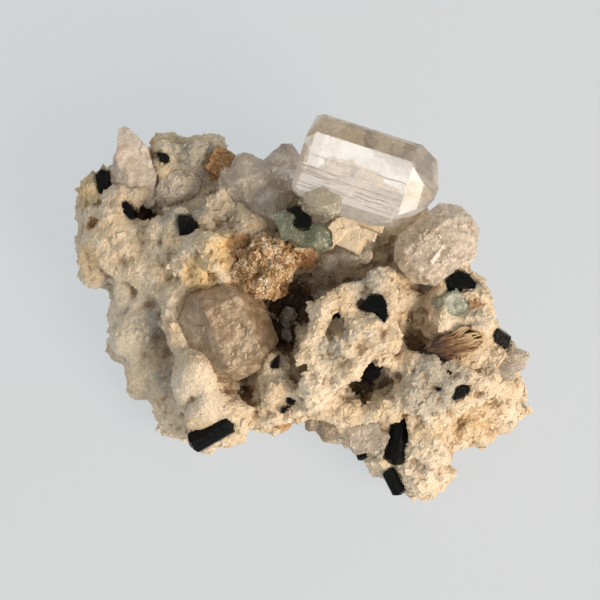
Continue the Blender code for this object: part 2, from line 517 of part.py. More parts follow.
def small_mineral_pieces():
    """Fluorite, mica, clean feldspar and the rust-stained bits."""
    bars = [
        block_form((9.5, 8, 23.4), seen(0.93, -0.36, 0.1), TOWARDS_VIEWER, (2.1, 0.75, 0.8), 0.92, 31),
        block_form((6.6, 9.8, 23.2), seen(0.9, 0.3, 0.1), TOWARDS_VIEWER, (2.0, 1.5, 1.4), 0.85, 32),
        block_form((4.9, 7.9, 22.8), seen(0.6, 0.7, 0.1), TOWARDS_VIEWER, (1.8, 1.3, 1.4), 0.85, 33),
        block_form((7.4, 7.2, 22.2), seen(0.8, -0.4, 0.2), TOWARDS_VIEWER, (2.2, 1.4, 1.6), 0.85, 34),
        block_form((10.4, 10, 21.8), seen(0.9, -0.3, 0), TOWARDS_VIEWER, (2.4, 0.9, 1.2), 0.88, 35),
    ]
    spike = [
        prism_form((-25.6, 21.8, 13), seen(-0.33, 0.93, -0.05), TOWARDS_VIEWER, 2.6, 6.6, 4, 66, 36),
        prism_form((-27.4, 19.6, 12.6), seen(-0.2, 0.9, 0.1), seen(-0.5, 0, 0.8), 2.2, 4.6, 4, 66, 37),
    ]
    fluorite = [
        fluorite_form((-1.7, 9.5, 23), 2.0, 20, 41),
        fluorite_form((2.7, 7.4, 22.6), 1.9, 50, 42),
        fluorite_form((0.6, 8.4, 22), 2.0, 5, 43),
    ]
    rounded = [
        rough_form((3.5, 11.8, 25.6), (3.6, 2.4, 2.6), 5, 24, 44),
        rough_form((3.2, 10.8, 22.6), (2.8, 2.0, 2.4), 5, 16, 50),
    ]
    stained = block_form((-12.4, 21.4, 17.4), seen(0.5, 0.8, 0.1), TOWARDS_VIEWER, (1.9, 1.6, 1.6), 0.85, 47)
    druse = rough_form((-5.3, 3.8, 19.2), (5.0, 4.6, 4.6), 0, 20, 49)
    return [
        Piece("fluorite_centre", FLUORITE, fluorite),
        Piece("fluorite_back", FLUORITE, rounded),
        Piece("fluorite_east", FLUORITE, [fluorite_form((23, -1.9, 19), 2.3, 35, 45)], lift=-0.8),
        Piece("fluorite_grey", FLUORITE, [fluorite_form((20, 1.8, 19), 1.4, 10, 46)], lift=-0.4),
        Piece("feldspar_spike", FELDSPAR, spike),
        Piece("stained_feldspar", RUSTY, [stained], lift=-0.5),
        Piece("albite_blades", ALBITE, bars),
        Piece("mica_book", MICA, mica_leaves(), lift=-1.2),
        Piece("amber_chip", RUSTY, [rough_form((-2.7, -18.2, 7.8), (1.2, 0.9, 1.2), 10, 16, 48)]),
        Piece("stained_druse", RUSTY, [druse], crust=0.8),
    ]


def form_mesh(form):
    """The solid of one form: a block that each of its faces trims in turn."""
    solid = bmesh.new()
    bmesh.ops.create_cube(solid, size=8 * max(distance for _, distance in form.faces))
    for normal, distance in form.faces:
        geometry = solid.verts[:] + solid.edges[:] + solid.faces[:]
        cut = bmesh.ops.bisect_plane(
            solid, geom=geometry, dist=1e-5, plane_co=normal * distance, plane_no=normal, clear_outer=True
        )
        rim = [item for item in cut["geom_cut"] if isinstance(item, bmesh.types.BMEdge)]
        if len(rim) > 2:
            bmesh.ops.edgeloop_fill(solid, edges=rim)
    bmesh.ops.remove_doubles(solid, verts=solid.verts, dist=0.02)
    bmesh.ops.translate(solid, verts=solid.verts, vec=form.centre)
    bmesh.ops.recalc_face_normals(solid, faces=solid.faces)
    return solid


def add_object(name, solid):
    """Puts a solid in millimetres into the scene, in metres, and frees it."""
    bmesh.ops.scale(solid, verts=solid.verts, vec=(MM, MM, MM))
    mesh = bpy.data.meshes.new(name)
    solid.to_mesh(mesh)
    solid.free()
    thing = bpy.data.objects.new(name, mesh)
    bpy.context.scene.collection.objects.link(thing)
    return thing


def settle(thing):
    """Applies the modifiers of an object."""
    graph = bpy.context.evaluated_depsgraph_get()
    graph.update()
    mesh = bpy.data.meshes.new_from_object(thing.evaluated_get(graph))
    old = thing.data
    thing.modifiers.clear()
    thing.data = mesh
    bpy.data.meshes.remove(old)
    mesh.name = thing.name


def discard(things):
    """Removes objects that have done their work."""
    for thing in things:
        bpy.data.objects.remove(thing)


def combine(thing, others, operation, solver="EXACT"):
    """Joins other solids to an object or cuts them out of it, one after another."""
    for other in others:
        step = thing.modifiers.new(operation.lower(), "BOOLEAN")
        step.operation = operation
        step.object = other
        step.solver = solver
        settle(thing)


def grown_forms(piece, by):
    """A piece's forms as objects of their own, every face moved out."""
    return [add_object(piece.name + "_form", form_mesh(form.grown(by))) for form in piece.forms]


def crust_over(thing, depth, cell):
    """Breaks the surface of a crystal crust into points and dimples, sunk below its faces."""
    shape = bmesh.new()
    shape.from_mesh(thing.data)
    bmesh.ops.triangulate(shape, faces=shape.faces)
    bmesh.ops.subdivide_edges(shape, edges=shape.edges, cuts=2, use_grid_fill=True)
    bmesh.ops.triangulate(shape, faces=shape.faces)
    shape.normal_update()
    moves = [(v, v.normal * depth * MM * (noise.noise(v.co / (cell * MM)) - 1) / 2) for v in shape.verts]
    for vertex, move in moves:
        vertex.co += move
    shape.to_mesh(thing.data)
    shape.free()


def build_piece(piece, neighbours):
    """One crystal or intergrown group, cut back where a crystal that grew before it stands in its way."""
    forms = grown_forms(piece, 0)
    body = forms[0]
    body.name = piece.name
    combine(body, forms[1:], "UNION")
    discard(forms[1:])
    if piece.round_edges:
        edge = body.modifiers.new("worn edges", "BEVEL")
        edge.width = piece.round_edges * MM
        edge.segments = 1
        edge.limit_method = "ANGLE"
        edge.angle_limit = math.radians(12)
        settle(body)
    if piece.crust:
        crust_over(body, piece.crust, 0.9)
    for neighbour in neighbours:
        if boxes_meet(piece, neighbour):
            cutters = grown_forms(neighbour, SOCKET_GAP)
            combine(body, cutters, "DIFFERENCE")
            discard(cutters)
    keep_largest_shell(body)
    body.data.materials.append(finish_material(piece.name, piece.finish))
    return body


def reach_box(piece):
    """A box that surely holds a piece: its forms' centres, widened by their farthest faces."""
    low = Vector([min(form.centre[i] - max(d for _, d in form.faces) for form in piece.forms) for i in range(3)])
    high = Vector([max(form.centre[i] + max(d for _, d in form.faces) for form in piece.forms) for i in range(3)])
    return low, high


def boxes_meet(one, other):
    """Whether two pieces could touch."""
    (low, high), (other_low, other_high) = reach_box(one), reach_box(other)
    return all(low[i] < other_high[i] and other_low[i] < high[i] for i in range(3))


def keep_largest_shell(thing):
    """Drops chips that a cut left loose, so that one closed body stays."""
    shape = bmesh.new()
    shape.from_mesh(thing.data)
    left = set(shape.verts)
    shells = []
    while left:
        shell = {left.pop()}
        front = list(shell)
        while front:
            vertex = front.pop()
            for edge in vertex.link_edges:
                other = edge.other_vert(vertex)
                if other not in shell:
                    shell.add(other)
                    front.append(other)
        left -= shell
        shells.append(shell)
    shells.sort(key=len)
    for shell in shells[:-1]:
        bmesh.ops.delete(shape, geom=list(shell), context="VERTS")
    shape.to_mesh(thing.data)
    shape.free()


def finish_material(name, finish):
    """The material of one piece."""
    material = bpy.data.materials.new(name)
    material.use_nodes = True
    shader = material.node_tree.nodes["Principled BSDF"]
    shader.inputs["Base Color"].default_value = (*finish.colour, 1)
    shader.inputs["Roughness"].default_value = finish.roughness
    shader.inputs["Transmission Weight"].default_value = finish.clear
    return material


def rim_core():
    """The plain body of the rock: rings below, at and above its widest line."""
    solid = bmesh.new()
    middle = sum((Vector((x, y, 0)) for x, y, _ in RIM), Vector()) / len(RIM)
    rings = []
    for level in ("under", "foot", "rim", "shoulder"):
        ring = []
        for index, (x, y, height) in enumerate(RIM):
            before, after = Vector(RIM[index - 1][:2]), Vector(RIM[(index + 1) % len(RIM)][:2])
            tangent = (after - before).normalized()
            inward = Vector((tangent.y, -tangent.x))
            if level == "under":
                place = Vector((x, y)) + inward * RIM_TUCK * 1.2
                z = UNDERSIDE
            elif level == "foot":
                place = Vector((x, y)) + inward * RIM_TUCK
                z = 1.0
            elif level == "rim":
                place = Vector((x, y)) - inward * RIM_SWELL
                z = height
            else:
                place = Vector((x, y)) + inward * RIM_TUCK * 0.7
                z = height + CORE_RISE
            ring.append(solid.verts.new((place.x, place.y, z)))
        rings.append(ring)
    for lower, upper in zip(rings, rings[1:]):
        for index in range(len(RIM)):
            after = (index + 1) % len(RIM)
            solid.faces.new((lower[index], lower[after], upper[after], upper[index]))
    for ring, height in ((rings[0], UNDERSIDE), (rings[-1], CORE_MIDDLE)):
        hub = solid.verts.new((middle.x, middle.y - 4, height))
        for index in range(len(RIM)):
            solid.faces.new((ring[index], ring[(index + 1) % len(RIM)], hub))
    bmesh.ops.recalc_face_normals(solid, faces=solid.faces)
    return solid


def slab_solid():
    """The tilted slab, as its outline drawn twice and walled."""
    solid = bmesh.new()
    chance = random.Random(7)
    rings = []
    for drop in (SLAB_THICKNESS, 0):
        ring = []
        for x, y in SLAB:
            top = SLAB_FRONT_TOP + (y - SLAB_FRONT_EDGE) * SLAB_SLOPE
            shrink = 1 - 0.05 * bool(drop)
            wander = chance.uniform(-0.2, 0.2)
            ring.append(solid.verts.new((7 + (x - 7) * shrink, -7 + (y + 7) * shrink, top - drop + wander)))
        rings.append(ring)
    for index in range(len(SLAB)):
        after = (index + 1) % len(SLAB)
        solid.faces.new((rings[0][index], rings[0][after], rings[1][after], rings[1][index]))
    for ring in rings:
        solid.faces.new(ring)
    bmesh.ops.triangulate(solid, faces=solid.faces)
    bmesh.ops.recalc_face_normals(solid, faces=solid.faces)
    return solid


def lump_form(lump, seed):
    """The broken solid of a lump, hung from its top."""
    x, y = lump.place
    return rough_form((x, y, lump.top - lump.half[2]), lump.half, lump.turn, 20, seed)


def gathered(solids):
    """Several solids as one mesh."""
    gathered_solid = bmesh.new()
    for solid in solids:
        mesh = bpy.data.meshes.new("gather")
        solid.to_mesh(mesh)
        solid.free()
        gathered_solid.from_mesh(mesh)
        bpy.data.meshes.remove(mesh)
    return gathered_solid


def fuse(thing):
    """Melts overlapping solids into one skin with cells the size of the grain."""
    skin = thing.modifiers.new("fuse", "REMESH")
    skin.mode = "VOXEL"
    skin.voxel_size = GRAIN * MM
    settle(thing)


def roughen(thing):
    """Breaks the rock's surface into small blocks, steps and dimples."""
    shape = bmesh.new()
    shape.from_mesh(thing.data)
    shape.normal_update()
    moves = []
    for vertex in shape.verts:
        place = vertex.co / MM
        distances, points = noise.voronoi(place / 2.6, distance_metric="DISTANCE", exponent=2.5)
        block = noise.cell(points[0] * 7.3) - 0.5
        crack = min(distances[1] - distances[0], 0.25) - 0.25
        swell = noise.fractal(place / 3.4, 1.0, 2.0, 3)
        moves.append((vertex, vertex.normal * MM * (1.3 * block + 1.2 * crack + 0.35 * swell)))
    for vertex, move in moves:
        vertex.co += move
    shape.to_mesh(thing.data)
    shape.free()


def thin_out(thing, faces):
    """Leaves about so many triangles, where the surface turns most."""
    thing.data.calc_loop_triangles()
    fewer = thing.modifiers.new("thin out", "DECIMATE")
    fewer.ratio = faces / len(thing.data.loop_triangles)
    fewer.use_collapse_triangulate = True
    settle(thing)


def saw_block():
    """What the saw took away below the specimen."""
    solid = bmesh.new()
    bmesh.ops.create_cube(solid, size=1)
    bmesh.ops.scale(solid, verts=solid.verts, vec=(120, 120, 20))
    bmesh.ops.translate(solid, verts=solid.verts, vec=(0, 0, -10))
    return solid


def build_rock():
    """The rock before its sockets: core, lumps and slab melted together, pitted, roughened and sawn flat."""
    lumps = [form_mesh(lump_form(lump, 100 + index)) for index, lump in enumerate(LUMPS)]
    rock = add_object("albite_matrix", gathered([rim_core(), slab_solid()] + lumps))
    fuse(rock)
    pits = [add_object(pit.name, form_mesh(lump_form(pit, 300 + index))) for index, pit in enumerate(PITS)]
    combine(rock, pits, "DIFFERENCE")
    discard(pits)
    fuse(rock)
    roughen(rock)
    fuse(rock)
    keep_largest_shell(rock)
    thin_out(rock, MATRIX_FACES)
    saw = add_object("saw", saw_block())
    combine(rock, [saw], "DIFFERENCE", "MANIFOLD")
    discard([saw])
    rock.data.materials.append(finish_material(rock.name, ALBITE))
    return rock


def seat(pieces, rock):
    """Lets each piece that has a lift down onto the rock, along the viewer's line of sight."""
    surface = bmesh.new()
    surface.from_mesh(rock.data)
    tree = BVHTree.FromBMesh(surface)
    surface.free()
    for piece in pieces:
        if piece.lift is None:
            continue
        anchor = Vector(piece.anchor or piece.forms[0].centre)
        hit = tree.ray_cast((anchor + TOWARDS_VIEWER * 60) * MM, -TOWARDS_VIEWER)[0]
        shift = hit / MM + TOWARDS_VIEWER * piece.lift - anchor
        for form in piece.forms:
            form.centre = form.centre + shift


def cut_sockets(rock, pieces):
    """Cuts every crystal's socket out of the rock."""
    for piece in pieces:
        cutters = grown_forms(piece, SOCKET_GAP)
        combine(rock, cutters, "DIFFERENCE", "MANIFOLD")
        discard(cutters)
    keep_largest_shell(rock)


def main():
    """Builds the rock, then the crystals in the order in which they stand in each other's way."""
    for thing in list(bpy.data.objects):
        bpy.data.objects.remove(thing)
    rock = build_rock()
    large, etched, brown = topaz_pieces()
    pieces = [large, etched, *schorl_pieces(), brown, *small_mineral_pieces(), *quartz_pieces()]
    seat(pieces, rock)
    for index, piece in enumerate(pieces):
        build_piece(piece, pieces[:index])
    cut_sockets(rock, pieces)


main()
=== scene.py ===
"""Looks of a topaz specimen: the fine surface of the rock, the faces of its crystals, and a small studio.

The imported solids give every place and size. Lengths here are in millimetres, and MM turns them to metres.
"""

import itertools
import logging
import math
import random
from dataclasses import dataclass
from enum import Enum

import bmesh
import bpy
import numpy as np
from mathutils import Matrix, Vector, noise
from mathutils.bvhtree import BVHTree


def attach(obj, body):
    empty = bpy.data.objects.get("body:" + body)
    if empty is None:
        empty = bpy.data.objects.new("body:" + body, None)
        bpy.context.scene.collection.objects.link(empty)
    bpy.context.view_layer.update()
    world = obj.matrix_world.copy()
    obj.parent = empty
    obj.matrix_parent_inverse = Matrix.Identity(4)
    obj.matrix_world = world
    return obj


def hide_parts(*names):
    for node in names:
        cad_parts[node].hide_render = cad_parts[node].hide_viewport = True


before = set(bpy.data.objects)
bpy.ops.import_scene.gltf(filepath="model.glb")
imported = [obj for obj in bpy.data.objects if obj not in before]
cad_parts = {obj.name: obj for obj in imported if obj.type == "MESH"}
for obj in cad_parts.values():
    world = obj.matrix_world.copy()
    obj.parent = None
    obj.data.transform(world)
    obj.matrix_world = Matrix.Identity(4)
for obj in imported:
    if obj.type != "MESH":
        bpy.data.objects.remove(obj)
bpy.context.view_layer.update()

MM = 0.001
BODY = "root"
LOG = logging.getLogger("specimen")

# The photograph's view: nearly straight down, from a little towards the front
TOWARDS_VIEWER = Vector((0, -0.259, 0.966))
VIEWER_UP = Vector((0, 0.966, 0.259))
VIEW_CENTRE = Vector((0, 0, 14))
VIEW_DISTANCE = 330.0
LENS = 128.6
SENSOR = 36
# The main crystal's length and its broad front face
TOPAZ_ALONG = Vector((0.939, -0.338, 0.063))
TOPAZ_FACING = Vector((0, -0.44, 0.9))
# Typical indices of refraction
ALBITE_IOR = 1.53
QUARTZ_IOR = 1.544
TOPAZ_IOR = 1.62
FLUORITE_IOR = 1.433
SCHORL_IOR = 1.64

Hex = str
Rgba = tuple[float, float, float, float]
Thing = bpy.types.Object
Shape = bmesh.types.BMesh
Tree = bpy.types.NodeTree
Node = bpy.types.Node
Socket = bpy.types.NodeSocket
Material = bpy.types.Material
Collection = bpy.types.Collection
Inputs = dict[str | int, object]


def linear(colour: Hex) -> Rgba:
    """Turns an sRGB hex colour to the linear values that shaders take.

    Args:
        colour: six hex digits after a hash.

    Returns:
        Red, green, blue and a full alpha.
    """
    shares = [int(colour[i : i + 2], 16) / 255 for i in (1, 3, 5)]
    return (*[s / 12.92 if s <= 0.04045 else ((s + 0.055) / 1.055) ** 2.4 for s in shares], 1.0)


def feed(tree: Tree, node: Node, inputs: Inputs) -> None:
    """Sets a node's inputs.

    Args:
        tree: the node's tree.
        node: the node.
        inputs: a value, or the socket to link from, for each input by name or number.
    """
    for key, value in inputs.items():
        if isinstance(value, Socket):
            tree.links.new(value, node.inputs[key])
        else:
            node.inputs[key].default_value = value


def add_node(tree: Tree, kind: str, inputs: Inputs | None = None, **settings: object) -> Node:
    """Adds a node to a shader or geometry tree.

    Args:
        tree: the tree that takes the node.
        kind: the node's type.
        inputs: its inputs, as feed takes them.
        settings: the node's own properties.

    Returns:
        The new node.
    """
    node = tree.nodes.new(kind)
    for name, value in settings.items():
        setattr(node, name, value)
    feed(tree, node, inputs or {})
    return node


def maths(tree: Tree, operation: str, *values: object, use_clamp: bool = False) -> Socket:
    """Works on numbers.

    Args:
        tree: the tree.
        operation: what is done with them.
        values: the numbers, or their sockets.
        use_clamp: whether the result stays between 0 and 1.

    Returns:
        The result's socket.
    """
    node = add_node(tree, "ShaderNodeMath", dict(enumerate(values)), operation=operation, use_clamp=use_clamp)
    return node.outputs[0]


def vector_maths(tree: Tree, operation: str, vector: Socket, other: object) -> Socket:
    """Works on vectors.

    Args:
        tree: the tree.
        operation: what is done with them.
        vector: the first vector.
        other: the second vector, or the number to scale by.

    Returns:
        The result's socket, a number for a dot product.
    """
    second = 3 if operation == "SCALE" else 1
    node = add_node(tree, "ShaderNodeVectorMath", {0: vector, second: other}, operation=operation)
    return node.outputs["Value" if operation == "DOT_PRODUCT" else "Vector"]


def stretched(tree: Tree, value: Socket, low: float, high: float, bottom: float = 0.0, top: float = 1.0
              ) -> Socket:
    """Stretches a number, so that a soft pattern gets clear edges.

    Args:
        tree: the tree.
        value: the number's socket.
        low: the number that gives the bottom.
        high: the number that gives the top.
        bottom: the result at the low end.
        top: the result at the high end.

    Returns:
        The stretched number's socket.
    """
    return add_node(tree, "ShaderNodeMapRange", {0: value, 1: low, 2: high, 3: bottom, 4: top}).outputs[0]


def blend(tree: Tree, share: object, one: object, other: object, how: str = "MIX") -> Socket:
    """Lays a second colour over the first.

    Args:
        tree: the material's tree.
        share: how much of the second colour shows.
        one: the first colour, as a value or a socket.
        other: the second colour, likewise.
        how: the way they mix.

    Returns:
        The mixed colour's socket.
    """
    mix = add_node(tree, "ShaderNodeMix", {0: share, 6: one, 7: other}, data_type="RGBA", blend_type=how)
    return mix.outputs[2]


def stored(tree: Tree, name: str) -> Socket:
    """The number that a vertex keeps, for a material.

    Args:
        tree: the material's tree.
        name: the attribute's name.

    Returns:
        The number's socket.
    """
    return add_node(tree, "ShaderNodeAttribute", attribute_name=name).outputs["Fac"]


def clouds(tree: Tree, place: Socket, size: float, detail: float, roughness: float = 0.5) -> Socket:
    """A soft random pattern.

    Args:
        tree: the tree.
        place: the coordinates that it is read at.
        size: how wide a cloud is, in millimetres.
        detail: how many finer layers it has.
        roughness: how strong these are.

    Returns:
        The socket of a number round 0.5.
    """
    return add_node(tree, "ShaderNodeTexNoise", {
        "Vector": place, "Scale": 1 / (size * MM), "Detail": detail, "Roughness": roughness}).outputs["Fac"]


def relief(tree: Tree, height: Socket, strength: float, depth: float) -> Socket:
    """A fine relief for a shader's Normal.

    Args:
        tree: the material's tree.
        height: the pattern.
        strength: how much of it shows.
        depth: how deep it is, in millimetres.

    Returns:
        The normal's socket.
    """
    return add_node(tree, "ShaderNodeBump", {
        "Height": height, "Strength": strength, "Distance": depth * MM}).outputs["Normal"]


def own_place(tree: Tree) -> Socket:
    """The object's own coordinates, for a material.

    Args:
        tree: the material's tree.

    Returns:
        The coordinates' socket.
    """
    return add_node(tree, "ShaderNodeTexCoord").outputs["Object"]


def new_material(name: str) -> tuple[Material, Tree, Node]:
    """Starts a material.

    Args:
        name: what the finish is.

    Returns:
        The material, its tree and its Principled shader.
    """
    material = bpy.data.materials.new(name)
    material.use_nodes = True
    return material, material.node_tree, material.node_tree.nodes["Principled BSDF"]


def settle(thing: Thing) -> None:
    """Applies the modifiers of an object, so that its mesh is the final one.

    Args:
        thing: the object, which keeps its name.
    """
    graph = bpy.context.evaluated_depsgraph_get()
    graph.update()
    mesh = bpy.data.meshes.new_from_object(thing.evaluated_get(graph))
    old = thing.data
    thing.modifiers.clear()
    thing.data = mesh
    bpy.data.meshes.remove(old)
    mesh.name = thing.name


def reskin(thing: Thing, cell: float) -> None:
    """Gives an object an even skin of small faces.

    Args:
        thing: the object.
        cell: the size of a face, in millimetres.
    """
    step = thing.modifiers.new("skin", "REMESH")
    step.mode = "VOXEL"
    step.voxel_size = cell * MM
    settle(thing)


def add_object(name: str, data: bpy.types.ID) -> Thing:
    """Puts a mesh, a light or a camera into the scene.

    Args:
        name: the object's name.
        data: what it shows.

    Returns:
        The object, at the origin.
    """
    thing = bpy.data.objects.new(name, data)
    bpy.context.scene.collection.objects.link(thing)
    return thing


def add_shape(name: str, shape: Shape) -> Thing:
    """Puts a bmesh, in metres, into the scene and frees it.

    Args:
        name: the object's name.
        shape: its mesh.

    Returns:
        The object, at the origin.
    """
    mesh = bpy.data.meshes.new(name)
    shape.to_mesh(mesh)
    shape.free()
    return add_object(name, mesh)


def welded_shape(node: str) -> Shape:
    """A copy of a solid with its loose triangles joined and its flat faces whole.

    Args:
        node: the solid's name in the frame.

    Returns:
        A bmesh in metres.
    """
    shape = bmesh.new()
    shape.from_mesh(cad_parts[node].data)
    bmesh.ops.remove_doubles(shape, verts=shape.verts, dist=0.002 * MM)
    bmesh.ops.dissolve_limit(shape, angle_limit=math.radians(1), verts=shape.verts, edges=shape.edges)
    return shape


def blunt(shape: Shape, angle: float, wear: float, steps: int) -> None:
    """Wears the sharp edges of a crystal.

    Args:
        shape: the crystal, in metres.
        angle: how sharp an edge has to be, in degrees.
        wear: how wide the worn strip is, in millimetres.
        steps: how many faces it is made of.
    """
    least = math.radians(angle)
    sharp = [edge for edge in shape.edges if edge.is_manifold and edge.calc_face_angle(0) > least]
    bmesh.ops.bevel(shape, geom=sharp, offset=wear * MM, segments=steps, affect="EDGES", clamp_overlap=True)


def hand_over(thing: Thing, slot: str, *nodes: str) -> None:
    """Gives a finished piece to the frame: what it rides on and the solids it stands for.

    Args:
        thing: the finished piece.
        slot: the name of its material slot; not used.
        nodes: the solids that it replaces.
    """
    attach(thing, BODY)
    if nodes:
        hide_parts(*nodes)
    LOG.info("%s: %d faces", thing.name, len(thing.data.polygons))


def store(thing: Thing, name: str, values: np.ndarray) -> None:
    """Keeps one number, or one vector, for each vertex.

    Args:
        thing: a mesh object.
        name: the attribute's name.
        values: an array with a row for each vertex.
    """
    kind, field = ("FLOAT", "value") if values.ndim == 1 else ("FLOAT_VECTOR", "vector")
    attribute = thing.data.attributes.new(name, kind, "POINT")
    attribute.data.foreach_set(field, values.astype(np.float32).ravel())


def recall(thing: Thing, name: str) -> np.ndarray:
    """The number that each vertex keeps under a name.

    Args:
        thing: a mesh object.
        name: the attribute's name.

    Returns:
        One number for each vertex.
    """
    values = np.empty(len(thing.data.vertices), np.float32)
    thing.data.attributes[name].data.foreach_get("value", values)
    return values


def places(thing: Thing) -> np.ndarray:
    """Every vertex's place, in millimetres.

    Args:
        thing: a mesh object at the origin.

    Returns:
        An array of three columns.
    """
    flat = np.empty(len(thing.data.vertices) * 3, np.float32)
    thing.data.vertices.foreach_get("co", flat)
    return flat.reshape(-1, 3) / MM


def run_tree(thing: Thing, tree: Tree, values: dict[str, object]) -> None:
    """Runs a geometry tree on an object and keeps the result as its mesh.

    Args:
        thing: the object.
        tree: the geometry tree.
        values: a value for each named input.
    """
    step = thing.modifiers.new(tree.name, "NODES")
    step.node_group = tree
    for socket in tree.interface.items_tree:
        if socket.item_type == "SOCKET" and socket.in_out == "INPUT" and socket.name in values:
            step[socket.identifier] = values[socket.name]
    settle(thing)


def new_geometry_tree(name: str, inputs: dict[str, str]) -> tuple[Tree, Node]:
    """Starts a geometry tree with named inputs.

    Args:
        name: the tree's name.
        inputs: the type of each input.

    Returns:
        The tree and its input node.
    """
    tree = bpy.data.node_groups.new(name, "GeometryNodeTree")
    tree.interface.new_socket("Geometry", in_out="INPUT", socket_type="NodeSocketGeometry")
    tree.interface.new_socket("Geometry", in_out="OUTPUT", socket_type="NodeSocketGeometry")
    for label, kind in inputs.items():
        tree.interface.new_socket(label, in_out="INPUT", socket_type="NodeSocket" + kind)
    return tree, add_node(tree, "NodeGroupInput")


def finish_tree(tree: Tree, given: Node, geometry: Socket) -> None:
    """Ends a geometry tree with real geometry that has its material.

    Args:
        tree: the tree.
        given: its input node.
        geometry: what it made.
    """
    real = add_node(tree, "GeometryNodeRealizeInstances", {0: geometry})
    dressed = add_node(tree, "GeometryNodeSetMaterial", {
        "Geometry": real.outputs[0], "Material": given.outputs["Finish"]})
    add_node(tree, "NodeGroupOutput", {0: dressed.outputs[0]})


def named(tree: Tree, name: str) -> Socket:
    """The number that a vertex keeps, for a geometry tree.

    Args:
        tree: the geometry tree.
        name: the attribute's name.

    Returns:
        The number's socket.
    """
    return add_node(tree, "GeometryNodeInputNamedAttribute", {"Name": name}, data_type="FLOAT").outputs[0]


class Character(Enum):
    """What sets a stretch of the rock apart from the rest. The value is its attribute's name."""

    SMOOTH = "smooth"
    RUST = "rust"
    # Grey rock, and on the left flank painted shade
    GREY = "grey"
    YELLOW = "yellow"
    # Paler rock, and on the slab's lower edge a painted pool of light
    PALE = "pale"
    # Dark brown painted where shade falls in pockets, gaps and clefts, with a little real dirt
    DIRT = "dirt"
    RAISED = "raised"
    SUNK = "sunk"


class Cover(Enum):
    """Where loose grains lie on the rock."""

    ROUGH = "the rough stretches"
    SMOOTH = "the smooth flank"
    CONTACT = "the rims where rock meets crystal"
    RUST = "the rusty stretches"


@dataclass(frozen=True)
class Patch:
    """A stretch of the rock with a character of its own, which fades towards its edge."""

    place: tuple[float, float, float]
    reach: float
    strength: float = 1.0

    def weigh(self, points: np.ndarray) -> np.ndarray:
        """How strongly each point has this character.

        Args:
            points: places in millimetres.

        Returns:
            A number from 0 to the patch's strength for each.
        """
        distance = np.linalg.norm(points - np.array(self.place), axis=1)
        share = np.clip(1.25 * (1 - distance / self.reach), 0, 1)
        return self.strength * share * share * (3 - 2 * share)


@dataclass(frozen=True)
class GranularAlbite:
    """Albite broken across its grain: matt cream sugar that light sinks into, browned in its hollows by iron
    stain and painted shade.

    The eye gets a dry, warm, crumbly stone with faintly glinting grains. Its real grain goes down to 0.1 mm.
    The pattern's is coarser, because finer grain wouldn't show at the picture's size.
    """

    cream: Hex = "#E6D5BA"
    light: Hex = "#F2E7D4"
    tan: Hex = "#C9AC86"
    # Grey, which on the left flank paints shade
    grey: Hex = "#C2BDB2"
    yellow: Hex = "#EBD2A2"
    rust: Hex = "#C49563"
    # Brown for the hollows: partly iron stain, partly painted shade
    hollow_stain_and_shade: Hex = "#8E6D49"
    # Dark brown for pockets and gaps: painted shade, with a little real dirt
    dirt: Hex = "#3C2B1D"
    blotch: float = 3.2
    fleck: float = 0.8
    grain: float = 0.34
    grain_relief: float = 0.12
    grain_tones: tuple[float, float] = (0.78, 1.06)
    grain_roughness: tuple[float, float] = (0.85, 0.42)
    light_depth: float = 0.5

    def material(self) -> Material:
        """Builds the rock's material.

        Returns:
            A material that reads the attributes of the rock's stretches.
        """
        material, tree, shader = new_material("granular albite")
        place = own_place(tree)
        blotches = clouds(tree, place, self.blotch, 4.0, 0.6)
        flecks = clouds(tree, place, self.fleck, 5.0, 0.7)
        colour = blend(tree, stretched(tree, blotches, 0.42, 0.6), linear(self.cream), linear(self.light))
        colour = blend(tree, stretched(tree, flecks, 0.52, 0.72, top=0.75), colour, linear(self.tan))
        ragged = stretched(tree, flecks, 0.36, 0.64, top=1.5)
        for character, shade, low, high in (
            (Character.YELLOW, self.yellow, 0.35, 0.75),
            # Pale stretches, partly a painted pool of light
            (Character.PALE, self.light, 0.2, 0.6),
            # Grey stretches, partly painted shade on the left flank
            (Character.GREY, self.grey, 0.25, 0.7),
            (Character.RUST, self.rust, 0.45, 0.85),
            # Painted shade in pockets and gaps, with a little real dirt
            (Character.DIRT, self.dirt, 0.4, 0.75),
        ):
            weight = stored(tree, character.value)
            uneven = maths(tree, "MULTIPLY_ADD", weight, 0.75, maths(tree, "MULTIPLY", weight, ragged))
            colour = blend(tree, stretched(tree, uneven, low, high), colour, linear(shade))
        # Deeper hollows turn brown: partly iron stain, partly painted shade
        hollows = stretched(tree, stored(tree, "pit"), 0.12, 0.75, top=0.8)
        colour = blend(tree, hollows, colour, linear(self.hollow_stain_and_shade))
        grains = add_node(tree, "ShaderNodeTexVoronoi", {"Vector": place, "Scale": 1 / (self.grain * MM)})
        tone = stretched(tree, grains.outputs["Color"], 0.0, 1.0, *self.grain_tones)
        height = maths(tree, "ADD", grains.outputs["Distance"], clouds(tree, place, 0.5 * self.grain, 3.0))
        feed(tree, shader, {
            "Base Color": vector_maths(tree, "SCALE", colour, tone),
            "Normal": relief(tree, height, 0.6, self.grain_relief),
            "Roughness": stretched(tree, grains.outputs["Color"], 0.0, 1.0, *self.grain_roughness),
            "IOR": ALBITE_IOR, "Subsurface Weight": 0.12, "Subsurface Radius": (1.0, 0.75, 0.5),
            "Subsurface Scale": self.light_depth * MM})
        return material


